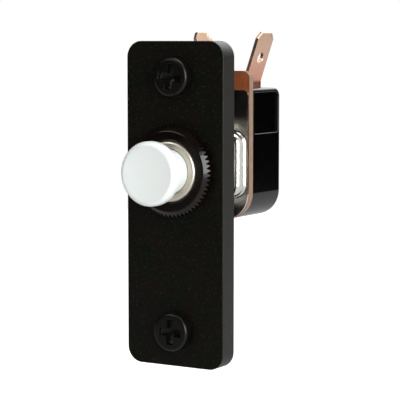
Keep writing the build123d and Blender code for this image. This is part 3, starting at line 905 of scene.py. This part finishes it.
@dataclass
class Bushing:
    """Threaded bushing with a wide mouth, a guide bore, a relief and a staked tail."""

    thread: float = 5.95
    mouth: float = 4.6
    mouth_depth: float = 3.2
    mouth_edge: float = 0.08
    guide: float = 4.45
    pitch: float = 0.794
    depth: float = 0.42
    front: float = -6.92
    lead_in: float = 0.35
    face_edge: float = 0.5
    shoulder_edge: float = 0.18
    shoulder_depth: float = 0.1
    boss: float = 8.45
    relief: float = 5.5
    relief_length: float = 0.9
    tail: float = 4.8
    tail_length: float = 0.55
    stake: float = 5.1
    stake_end: float = 0.95
    stake_edge: float = 0.15
    first_row: float = 0.05
    last_row: float = 0.02
    front_run_out: float = 0.2
    back_run_out: float = 0.1
    sharp: float = 40.0
    rows: int = 10
    columns: int = 144

    def mesh(self) -> bpy.types.Mesh:
        """Bushing as one closed surface: its profile, turned, with the thread cut into the outside.

        Returns:
            The mesh.
        """
        start = self.front + self.lead_in
        end = self.boss - self.relief_length - (self.thread - self.relief)
        staked = self.boss + self.stake_end
        along = np.arange(start + self.first_row, end - self.last_row, self.pitch / self.rows)
        face = [(self.mouth + self.mouth_edge, self.front), (self.thread - self.face_edge, self.front),
                (self.thread - self.shoulder_edge, self.front + self.shoulder_depth), (self.thread, start)]
        rest = [(self.thread, end), (self.relief, self.boss - self.relief_length), (self.relief, self.boss),
                (self.tail, self.boss), (self.tail, self.boss + self.tail_length),
                (self.stake, self.boss + self.tail_length), (self.stake, staked - self.stake_edge),
                (self.stake - self.stake_edge, staked), (self.guide, staked),
                (self.guide, self.front + self.mouth_depth), (self.mouth, self.front + self.mouth_depth),
                (self.mouth, self.front + self.mouth_edge)]
        profile = np.concatenate([np.array(face), np.column_stack([np.full(len(along), self.thread), along]),
                                  np.array(rest), np.array(face[:1])])
        span = (start - self.front_run_out, end + self.back_run_out)
        grid = threaded(profile, self.pitch, self.depth, span, self.columns)
        plain = turned(profile, self.columns)
        first, last = len(face), len(face) + len(along)
        grid[:first], grid[last:] = plain[:first], plain[last:]
        return Shape().add(grid).mesh("bushing")


@dataclass
class RingNut:
    """Round nut in front of the plate, with a pointed knurl cut through its wide front chamfer."""

    bore: float = 6.0
    bore_edge: float = 0.3
    outer: float = 9.0
    face: float = 7.9
    face_edge: float = 0.12
    chamfer_start: float = 0.06
    chamfer_drop: float = 0.08
    shoulder: float = 0.99
    foot: float = 8.72
    teeth: int = 60
    tooth: float = 0.55
    phases: tuple[float, float, float, float] = (0.0, 0.42, 0.5, 0.92)
    first_tooth: float = 0.54
    sharp: float = 15.0

    def mesh(self) -> bpy.types.Mesh:
        """Ring whose rim follows the knurl's zigzag.

        Along the turn the rim's radius runs tip, root, root, tip in each tooth. The front chamfer
        is the line from the face to the shoulder, followed only as far as that radius.

        Returns:
            The mesh.
        """
        rim = self.outer - np.tile(np.array([0.0, self.tooth, self.tooth, 0.0]), self.teeth)
        place = (np.arange(self.teeth)[:, None] + np.array(self.phases)[None]).ravel()
        angle = (place + self.first_tooth) * 2 * pi / self.teeth
        slope = self.shoulder / (self.outer - self.face)
        chamfer = RING_FRONT + (rim - self.face) * slope
        back = PLATE_FRONT - np.clip(rim - self.outer + self.tooth / 2, 0, None)
        ones = np.ones_like(rim)
        rows = [(ones * (self.bore + self.bore_edge), ones * RING_FRONT),
                (ones * (self.face - self.face_edge), ones * RING_FRONT),
                (ones * (self.face + self.chamfer_start), ones * (RING_FRONT + self.chamfer_drop)),
                (rim, chamfer), (rim, back),
                (np.minimum(rim, self.foot), ones * PLATE_FRONT), (ones * self.bore, ones * PLATE_FRONT),
                (ones * self.bore, ones * (RING_FRONT + self.bore_edge)),
                (ones * (self.bore + self.bore_edge), ones * RING_FRONT)]
        return Shape().add(round_axis(rows, angle)).mesh("ring_nut")


@dataclass
class BackNut:
    """Hexagonal nut behind the plate, with both faces' corners and the bore's edges chamfered."""

    bore: float = 6.0
    bore_edge: float = 0.35
    flats: float = 7.15
    face_edge: float = 0.15
    thickness: float = 2.4
    least_drop: float = 0.02
    slope: float = 0.47
    sharp: float = 22.0
    columns: int = 216

    def mesh(self) -> bpy.types.Mesh:
        """Ring whose rim is the hexagon.

        The rim's radius is the flat's distance over the cosine of the angle from the flat's middle,
        and the chamfer is a cone that starts at that distance on each face.

        Returns:
            The mesh.
        """
        angle = np.arange(self.columns) * 2 * pi / self.columns
        from_flat = np.mod(angle, pi / 3) - pi / 6
        rim = self.flats / np.cos(from_flat)
        drop = self.least_drop + (rim - self.flats) * self.slope
        ones = np.ones_like(rim)
        inner, outer = ones * (self.bore + self.bore_edge), ones * (self.flats - self.face_edge)
        far = ones * self.thickness
        rows = [(inner, 0 * ones), (outer, 0 * ones), (rim, drop), (rim, far - drop), (outer, far),
                (inner, far), (ones * self.bore, far - self.bore_edge),
                (ones * self.bore, ones * self.bore_edge), (inner, 0 * ones)]
        return Shape().add(round_axis(rows, pi / 2 - angle)).mesh("back_nut")


@dataclass
class LockWasher:
    """Washer in the plate's spot face, with inner teeth twisted out of its plane."""

    outer: float = 8.7
    middle: float = 7.1
    tooth: float = 1.05
    teeth: int = 10
    half_tooth: float = 0.36
    tooth_side: float = 0.03
    twist: float = 0.1
    thickness: float = 0.6
    edge: float = 0.1
    rib: float = 0.05
    rib_drop: float = 0.02
    columns: int = 240

    def mesh(self) -> bpy.types.Mesh:
        """Ring whose inner edge runs in and out of its teeth.

        The inner radius is the middle radius less the tooth's length times a trapezium wave of the
        place in the tooth's share of a turn, and the edge's height turns with that place.

        Returns:
            The mesh.
        """
        angle = np.arange(self.columns) * 2 * pi / self.columns
        place = np.mod(angle * self.teeth / (2 * pi), 1.0)
        wave = np.clip((self.half_tooth - np.abs(place - 0.5)) / self.tooth_side, 0, 1)
        inner = self.middle - self.tooth * wave
        twist = self.twist * (place - 0.5) * wave
        ones = np.ones_like(angle)
        back, edge, rib = -self.thickness, self.edge, ones * (self.middle + self.rib)
        rows = [(inner, back + edge + twist), (rib, ones * (back + self.rib_drop)),
                (ones * (self.outer - edge), ones * back), (ones * self.outer, ones * (back + edge)),
                (ones * self.outer, ones * -edge), (ones * (self.outer - edge), 0 * ones),
                (rib, ones * -self.rib_drop), (inner, twist - edge), (inner, back + edge + twist)]
        return Shape().add(round_axis(rows, angle)).mesh("washer")


@dataclass
class Clamp:
    """Bushing with the ring nut in front of the plate and the washer and nut behind it."""

    bushing: Bushing = field(default_factory=Bushing)
    ring: RingNut = field(default_factory=RingNut)
    nut: BackNut = field(default_factory=BackNut)
    washer: LockWasher = field(default_factory=LockWasher)

    def build(self, shop: Workshop) -> None:
        """Makes the four turned pieces.

        Args:
            shop: the workshop that finishes the pieces.
        """
        shop.piece("bushing_thread", self.bushing.mesh(), Finish.BUSHING, Body.FIXED, ["threaded_bushing"],
                   self.bushing.sharp)
        shop.piece("ring_nut_knurl", self.ring.mesh(), Finish.RING, Body.FIXED, ["ring_nut"],
                   self.ring.sharp)
        shop.piece("back_nut_hexagon", self.nut.mesh(), Finish.NUT, Body.FIXED, ["back_nut"],
                   self.nut.sharp)
        shop.piece("lock_washer_teeth", self.washer.mesh(), Finish.WASHER, Body.FIXED, ["lock_washer"])


@dataclass
class Button:
    """White button in one moulding with its stem, and the inner pieces that move with it."""

    cap: float = 6.25
    front: float = -14.6
    back: float = -12.4
    dish: float = 0.5
    rounding: float = 0.95
    underside: float = 0.12
    neck: float = 1.65
    stem: float = 4.4
    end: float = 9.45
    end_bevel: float = 0.15
    bore: float = 2.64
    bore_end: float = 4.41
    rings: int = 14
    arc_steps: int = 12
    columns: int = 160

    def mesh(self) -> bpy.types.Mesh:
        """Cap with a dished face, concave neck and hollow stem, turned from one profile.

        The face lies behind the cap's front by the dish times one less the square of the share of
        the cap's radius.

        Returns:
            The mesh.
        """
        across = np.linspace(0, self.cap - self.rounding, self.rings)
        face = np.column_stack([across, self.front + self.dish * (1 - (across / self.cap) ** 2)])
        corners = [tuple(face[-1]), (self.cap, self.front), (self.cap, self.back), (self.stem, self.back),
                   (self.stem, self.end - self.end_bevel), (self.stem - self.end_bevel, self.end),
                   (self.bore, self.end), (self.bore, self.bore_end), (0.0, self.bore_end)]
        radii = [0, self.rounding, self.underside, self.neck, 0, 0, 0, 0, 0]
        side = rounded(np.array(corners), radii, self.arc_steps, closed=False)
        return Shape().add(turned(np.concatenate([face, side[1:]]), self.columns)).mesh("button")

    def build(self, shop: Workshop) -> None:
        """Makes the button and dresses the pieces inside the case that move with it.

        Args:
            shop: the workshop that finishes the pieces.
        """
        shop.piece("push_button_cap", self.mesh(), Finish.BUTTON, Body.BUTTON, ["push_button"])
        for node, finish in (("plunger", Finish.PLUNGER), ("contact_bridge", Finish.BRIDGE),
                             ("bridge_clip", Finish.SPRING), ("left_moving_contact", Finish.CONTACT),
                             ("right_moving_contact", Finish.CONTACT)):
            shop.refined(node, finish, Body.BUTTON)


@dataclass
class Rivet:
    """Tubular rivet parallel to the button's axis, with its end rolled over behind the case."""

    height: float
    head: float
    front: float = 10.1
    seat: float = 10.8
    shank: float = 1.2
    rear: float = 24.35
    end: float = 24.85
    roll: float = 1.75
    bore: float = 0.7
    bore_depth: float = 1.6
    head_rounding: float = 0.45
    roll_front: float = 0.12
    roll_back: float = 0.3
    bore_rounding: float = 0.25
    arc_steps: int = 6
    columns: int = 64

    def build(self, shop: Workshop, node: str) -> None:
        """Makes the rivet, turned from one profile, in the place of its CAD node.

        Args:
            shop: the workshop that finishes the piece.
            node: name of the CAD node.
        """
        corners = [(0.0, self.front), (self.head, self.front), (self.head, self.seat),
                   (self.shank, self.seat), (self.shank, self.rear), (self.roll, self.rear),
                   (self.roll, self.end), (self.bore, self.end), (self.bore, self.end - self.bore_depth),
                   (0.0, self.end - self.bore_depth)]
        radii = [0, self.head_rounding, 0, 0, 0, self.roll_front, self.roll_back, self.bore_rounding, 0, 0]
        profile = rounded(np.array(corners), radii, self.arc_steps, closed=False)
        mesh = Shape().add(turned(profile, self.columns, (0.0, self.height))).mesh("rivet")
        shop.piece(node + "_head", mesh, Finish.RIVET, Body.FIXED, [node])


@dataclass
class Housing:
    """Stamped frame, fibre board, moulded case and the two rivets that hold them together."""

    board_edge: float = 0.12
    sharp: float = 50.0
    upper_rivet: float = 17.9
    upper_head: float = 1.9
    lower_rivet: float = -1.9
    lower_head: float = 1.4

    def build(self, shop: Workshop) -> None:
        """Makes the housing's pieces.

        Args:
            shop: the workshop that finishes the pieces.
        """
        shop.refined("metal_frame", Finish.FRAME, Body.FIXED, sharp=self.sharp)
        shop.refined("terminal_board", Finish.BOARD, Body.FIXED, self.board_edge)
        shop.refined("switch_case", Finish.CASE, Body.FIXED, sharp=self.sharp)
        Rivet(self.upper_rivet, self.upper_head).build(shop, "upper_rivet")
        Rivet(self.lower_rivet, self.lower_head).build(shop, "lower_rivet")


@dataclass
class Terminal:
    """Quick-connect terminal: a coined blade that leans out above the case, and its foot inside."""

    side: int
    width: float = 6.35
    thickness: float = 0.8
    offset: float = 4.4
    lean: float = 19.0
    bend_height: float = 23.9
    bend_radius: float = 2.8
    length: float = 10.39
    cut: float = 1.3
    cut_share: float = 0.41
    coin: float = 0.15
    coin_share: float = 0.25
    coin_height: float = 0.86
    rim_height: float = 0.62
    hole: float = 1.1
    hole_edge: float = 0.1
    hole_wall: float = 0.75
    hole_from_tip: float = 5.4
    plain_below_hole: float = 3.2
    bottom: float = 13.3
    middle: float = 18.6
    foot_width: float = 2.7
    foot_low: float = 4.5
    foot_high: float = 19.3
    foot_edge: float = 0.1
    part: float = 0.35
    hole_rings: int = 3
    sharp: float = 26.0

    def bent(self, flat: Array) -> Array:
        """Carries points of the flat strip over to the bent one.

        A point (w, t, s) is w across, t off the middle plane and s along from the bend's corner. The
        strip is straight below the bend, follows its arc, and is straight again above it; t is laid
        off along the arc's normal.

        Args:
            flat: points in the last axis as (w, t, s).

        Returns:
            Points (x, y, z) of this side's terminal.
        """
        across, off, along = flat[..., 0], flat[..., 1], flat[..., 2]
        lean = radians(self.lean)
        start = -self.bend_radius * tan(lean / 2)
        arc = self.bend_radius * lean
        angle = np.clip((along - start) / self.bend_radius, 0, lean)
        below = np.minimum(along, start)
        beyond = np.maximum(along - start - arc, 0)
        x = self.bend_radius * (1 - np.cos(angle)) + beyond * np.sin(angle)
        z = below + self.bend_radius * np.sin(angle) + beyond * np.cos(angle)
        x = self.offset + x + off * np.cos(angle)
        z = self.bend_height + z - off * np.sin(angle)
        return np.stack([self.side * x, self.middle + across, z], axis=-1)

    @property
    def band(self) -> float:
        """Place along the strip where its plain part meets the part round the hole."""
        return self.length - self.hole_from_tip - self.plain_below_hole

    def corners(self, inset: float) -> Array:
        """Corners of the flat strip's outline.

        Args:
            inset: distance by which the outline is drawn in.

        Returns:
            Points (w, s) of a strip whose two upper corners are cut at 45 degrees.
        """
        half, top, low = self.width / 2 - inset, self.length - inset, self.bottom - self.bend_height + inset
        slant = self.cut - inset * self.cut_share
        return np.array([(half, low), (half, self.band), (half, top - slant), (half - slant, top),
                         (slant - half, top), (-half, top - slant), (-half, self.band), (-half, low)])

    def strip(self, inset: float, off: float) -> Array:
        """Outline of the flat strip, drawn in by the inset, at a place off its middle plane."""
        line = divided(self.corners(inset), self.part, like=self.corners(self.coin))
        return np.insert(line, 1, off, axis=1)

    def rim(self) -> Array:
        """Coined rim of the blade: the strip's outline carried round its thickness.

        The outline is drawn in by the coin's size at both faces, by a share of it a little below
        them, and not at all between.

        Returns:
            Grid of points, one row for each step round the thickness.
        """
        front = [(self.coin, 1.0), (self.coin * self.coin_share, self.coin_height), (0.0, self.rim_height)]
        rows = front + [(inset, -height) for inset, height in reversed(front)]
        half = self.thickness / 2
        return self.bent(np.stack([self.strip(inset, height * half) for inset, height in rows]))

    def plain(self, line: Array) -> Array:
        """Flat face of the strip below the part round the hole, ruled from side to side.

        Args:
            line: the strip's outline at this face.

        Returns:
            Grid of points, (1 - t) times the right side plus t times the left for t from 0 to 1.
        """
        below = line[line[:, 2] < self.band + TINY]
        right = below[below[:, 0] > self.width / 2 - self.coin - TINY]
        left = right * np.array([-1, 1, 1])
        width = np.array([right[0, [0, 2]], left[0, [0, 2]]])
        return self.bent(ruled(right, left, len(divided(width, self.part, closed=False)) - 1))

    def blade(self, shape: Shape) -> None:
        """Adds the blade: rim, and two flat faces cut in a plain part and one round the hole.

        Args:
            shape: the shape that the blade's grids join.
        """
        half = self.thickness / 2
        shape.add(self.rim())
        centre = (0.0, self.length - self.hole_from_tip)
        walls: list[Array] = []
        for off in (half, -half):
            line = self.strip(self.coin, off)
            loop = divided(line[line[:, 2] > self.band - TINY][:, [0, 2]], self.part)
            inner = np.insert(shrunk_to_circle(loop, centre, self.hole), 1, off * self.hole_wall, axis=1)
            wide = np.insert(shrunk_to_circle(loop, centre, self.hole + self.hole_edge), 1, off, axis=1)
            shape.add(self.bent(ruled(np.insert(loop, 1, off, axis=1), wide, self.hole_rings)))
            walls += [wide, inner] if off > 0 else [inner, wide]
            shape.add(self.plain(line), around=False)
        shape.add(self.bent(np.stack(walls)))

    def foot(self, shape: Shape) -> None:
        """Adds the foot: an upright block with softened edges, carried round its outline.

        Args:
            shape: the shape that the foot's grid joins.
        """
        inner = self.offset - self.thickness / 2
        rear = self.middle + self.width / 2
        front, edge = rear - self.thickness, self.foot_edge
        low, high = np.array([inner, self.foot_low]), np.array([inner + self.foot_width, self.foot_high])
        rows = []
        for inset, y in ((edge, front), (0.0, front + edge), (0.0, rear - edge), (edge, rear)):
            (x0, z0), (x1, z1) = low + inset, high - inset
            rows.append(upright(np.array([(x0, z0), (x1, z0), (x1, z1), (x0, z1)]), y))
        middle = [np.repeat(row.mean(axis=0)[None], 4, axis=0) for row in (rows[0], rows[-1])]
        grid = np.stack([middle[0], *rows, middle[1]])
        shape.add(grid * np.array([self.side, 1, 1]))

    def build(self, shop: Workshop, node: str, contact: str) -> None:
        """Makes the terminal and dresses the contact riveted to its foot.

        Args:
            shop: the workshop that finishes the pieces.
            node: name of the terminal's CAD node.
            contact: name of the contact's CAD node.
        """
        shape = Shape()
        self.blade(shape)
        self.foot(shape)
        shop.piece(node + "_blade", shape.mesh("terminal"), Finish.TERMINAL, Body.FIXED, [node], self.sharp)
        shop.refined(contact, Finish.CONTACT, Body.FIXED)


@dataclass
class Coil:
    """Round-wire spring with closed ends round the button's axis."""

    front: float
    back: float
    front_radius: float
    back_radius: float
    wire: float = 0.45
    turns: float = 5.0
    flat_ends: float = 0.55
    steps: int = 40
    sides: int = 14

    def mesh(self) -> bpy.types.Mesh:
        """Wire's round section carried along a helix.

        The helix's height follows a smooth step of the turned share mixed with a straight rise, so
        that its end turns lie nearly flat, and its radius goes evenly from the front one to the back.

        Returns:
            The mesh.
        """
        share = np.linspace(0, 1, int(self.turns * self.steps))
        height = (1 - self.flat_ends) * share + self.flat_ends * share * share * (3 - 2 * share)
        start, end = self.front + self.wire / 2, self.back - self.wire / 2
        angle = share * self.turns * 2 * pi
        radius = self.front_radius + (self.back_radius - self.front_radius) * share
        path = np.stack([radius * np.cos(angle), start + (end - start) * height,
                         AXIS_HEIGHT + radius * np.sin(angle)], axis=-1)
        along = np.gradient(path, axis=0)
        along /= np.linalg.norm(along, axis=1)[:, None]
        out = np.stack([np.cos(angle), 0 * angle, np.sin(angle)], axis=-1)
        side = np.cross(along, out)
        side /= np.linalg.norm(side, axis=1)[:, None]
        out = np.cross(side, along)
        turn = np.arange(self.sides) * 2 * pi / self.sides
        rings = path[:, None] + self.wire / 2 * (np.cos(turn)[None, :, None] * out[:, None]
                                                 + np.sin(turn)[None, :, None] * side[:, None])
        ends = [np.repeat(path[place][None, None], self.sides, axis=1) for place in (0, -1)]
        return Shape().add(np.concatenate([ends[0], rings, ends[1]])).mesh("spring")


@dataclass
class Springs:
    """Contact spring in front of the bridge, and the return spring behind it, made at full length though it
    flattens as the button goes in.
    """

    contact_front: float = 10.67
    contact_back: float = 15.70
    contact_radius: float = 2.75
    return_front: float = 17.05
    return_back: float = 23.13
    return_small: float = 1.95
    return_large: float = 3.5
    case_floor: float = 23.15
    pressed_share: float = 0.475

    def build(self, shop: Workshop) -> None:
        """Makes both springs and gives the return spring a mesh of its own.

        Args:
            shop: the workshop that finishes the pieces.
        """
        contact = Coil(self.contact_front, self.contact_back, self.contact_radius, self.contact_radius)
        shop.piece("contact_spring_wire", contact.mesh(), Finish.SPRING, Body.BUTTON, ["contact_spring"])
        back = Coil(self.return_front, self.return_back, self.return_small, self.return_large)
        wire = shop.piece("return_spring_wire", back.mesh(), Finish.SPRING, Body.FIXED, ["return_spring"])
        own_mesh(wire)


@dataclass(frozen=True)
class Lamp:
    """Soft rectangular lamp: its place and sizes in metres and its power in watts."""

    name: str
    place: Point
    width: float
    height: float
    power: float

    def add(self) -> None:
        """Adds the lamp to the scene, aimed at the middle of the switch."""
        data = bpy.data.lights.new(self.name, "AREA")
        data.shape = "RECTANGLE"
        data.size, data.size_y = self.width, self.height
        data.energy = self.power
        lamp = bpy.data.objects.new(self.name, data)
        lamp.location = Vector(self.place)
        lamp.rotation_euler = (-lamp.location).to_track_quat("-Z", "Y").to_euler()
        bpy.context.scene.collection.objects.link(lamp)


@dataclass(frozen=True)
class Falloff:
    """Share of the surroundings' light round a direction.

    The cosine of the angle from the direction is carried by a smooth step from full light at the
    bright cosine to the least share at the dark one.
    """

    towards: Point
    bright: float
    dark: float
    least: float

    def share(self, tree: bpy.types.NodeTree, view: Socket) -> Socket:
        """Adds the nodes that work out the share.

        Args:
            tree: the world's node tree.
            view: the direction that is looked in.

        Returns:
            The share's socket.
        """
        along = tree.nodes.new("ShaderNodeVectorMath")
        along.operation = "DOT_PRODUCT"
        along.inputs[1].default_value = self.towards
        tree.links.new(view, along.inputs[0])
        share = tree.nodes.new("ShaderNodeMapRange")
        share.interpolation_type = "SMOOTHSTEP"
        for place, value in enumerate((self.bright, self.dark, 1.0, self.least), 1):
            share.inputs[place].default_value = value
        tree.links.new(along.outputs["Value"], share.inputs[0])
        return share.outputs[0]


@dataclass
class Studio:
    """Camera of the photograph, soft lamps, white surroundings and a pale floor."""

    azimuth: float = 31.0
    camera: Point = (172.5, -281.8, 32.2)
    focal: float = 1668.0
    frame_size: float = 400.0
    horizon: float = 159.45
    sensor: float = 36.0
    nearest: float = 0.01
    furthest: float = 20.0
    floor_height: float = -62.0
    floor_radius: float = 600.0
    floor_sides: int = 64
    floor_grey: float = 0.6
    floor_roughness: float = 0.9
    floor_glow: float = 0.75
    surroundings: float = 0.9
    bright_side: Falloff = Falloff((0.707, 0.707, 0.0), bright=0.3, dark=0.02, least=0.03)
    dark_gap: Falloff = Falloff((0.479, 0.876, -0.06), bright=0.962, dark=0.988, least=0.005)
    lamps: tuple[Lamp, ...] = (
        Lamp("front_lamp", (-0.4, -0.6, 0.6), width=0.5, height=0.5, power=2.3),
        Lamp("right_lamp", (0.78, -0.54, 0.13), width=0.48, height=0.75, power=9.7),
        Lamp("back_lamp", (-0.1, 0.85, 0.5), width=0.7, height=0.4, power=2.0),
        Lamp("high_lamp", (0.1, 0.1, 0.9), width=0.6, height=0.6, power=4.0))

    def add_camera(self) -> None:
        """Adds the camera, tilted down so that the photograph's horizon lies where it should."""
        data = bpy.data.cameras.new("camera")
        data.sensor_width = self.sensor
        tilt = atan(self.horizon / self.focal)
        data.lens = self.sensor * self.focal / cos(tilt) / self.frame_size
        data.clip_start, data.clip_end = self.nearest, self.furthest
        camera = bpy.data.objects.new("camera", data)
        camera.location = Vector(self.camera) * MM
        camera.rotation_euler = (pi / 2 - tilt, 0, radians(self.azimuth))
        bpy.context.scene.collection.objects.link(camera)
        bpy.context.scene.camera = camera

    def add_world(self) -> None:
        """Fills the surroundings: white to the camera, and to the rest a dark room with a bright side.

        The bright side lies to the right of the switch and behind it, and has a dark gap low down,
        which the switch's side faces mirror.
        """
        world = bpy.data.worlds.new("studio")
        world.use_nodes = True
        bpy.context.scene.world = world
        tree = world.node_tree
        tree.nodes.clear()
        new, link = tree.nodes.new, tree.links.new
        out, mix = new("ShaderNodeOutputWorld"), new("ShaderNodeMixShader")
        room, seen = new("ShaderNodeBackground"), new("ShaderNodeBackground")
        seen.inputs[0].default_value, seen.inputs[1].default_value = (1, 1, 1, 1), 1.0
        path, view = new("ShaderNodeLightPath"), new("ShaderNodeTexCoord").outputs["Generated"]
        both, scaled = new("ShaderNodeMath"), new("ShaderNodeMath")
        both.operation = scaled.operation = "MULTIPLY"
        link(self.bright_side.share(tree, view), both.inputs[0])
        link(self.dark_gap.share(tree, view), both.inputs[1])
        link(both.outputs[0], scaled.inputs[0])
        scaled.inputs[1].default_value = self.surroundings
        link(scaled.outputs[0], room.inputs[1])
        link(path.outputs["Is Camera Ray"], mix.inputs[0])
        link(room.outputs[0], mix.inputs[1])
        link(seen.outputs[0], mix.inputs[2])
        link(mix.outputs[0], out.inputs[0])

    def add_floor(self) -> None:
        """Adds the pale floor, a disc that the camera sees as white apart from the shadow."""
        disc = np.array([(0.0, 0.0), (self.floor_radius, 0.0)])
        shape = Shape().add(turned(disc, self.floor_sides, (0.0, 0.0)))
        mesh = bpy.data.meshes.new("floor")
        points = shape.points[0][:, [0, 2, 1]] * MM
        points[:, 2] = self.floor_height * MM
        mesh.from_pydata(points.tolist(), [], shape.faces[0].tolist())
        joined(mesh)
        floor = bpy.data.objects.new("floor", mesh)
        bpy.context.scene.collection.objects.link(floor)
        graph = Graph("floor_pale")
        seen = graph.node("LightPath").outputs["Is Camera Ray"]
        glow = graph.node("Emission", Color=(1, 1, 1, 1), Strength=graph.span(seen, 0.0, self.floor_glow))
        both = graph.node("AddShader")
        graph.tree.links.new(graph.shader.outputs[0], both.inputs[0])
        graph.tree.links.new(glow.outputs[0], both.inputs[1])
        graph.tree.links.new(both.outputs[0], graph.output.inputs[0])
        grey = (self.floor_grey, self.floor_grey, self.floor_grey, 1)
        mesh.materials.append(graph.feed(Base_Color=grey, Roughness=self.floor_roughness))

    def build(self) -> None:
        """Makes the camera, the lamps, the surroundings and the floor."""
        bpy.context.scene.view_settings.view_transform = "Standard"
        self.add_camera()
        for lamp in self.lamps:
            lamp.add()
        self.add_world()
        self.add_floor()


def main() -> None:
    """Builds the studio and the switch's sub-assemblies."""
    logging.basicConfig(level=logging.INFO, format="%(name)s: %(message)s")
    shop = Workshop()
    Studio().build()
    FacePlate().build(shop)
    Clamp().build(shop)
    Button().build(shop)
    Housing().build(shop)
    Terminal(side=-1).build(shop, "left_terminal", "left_fixed_contact")
    Terminal(side=1).build(shop, "right_terminal", "right_fixed_contact")
    Springs().build(shop)


if __name__ == "__main__":
    main()
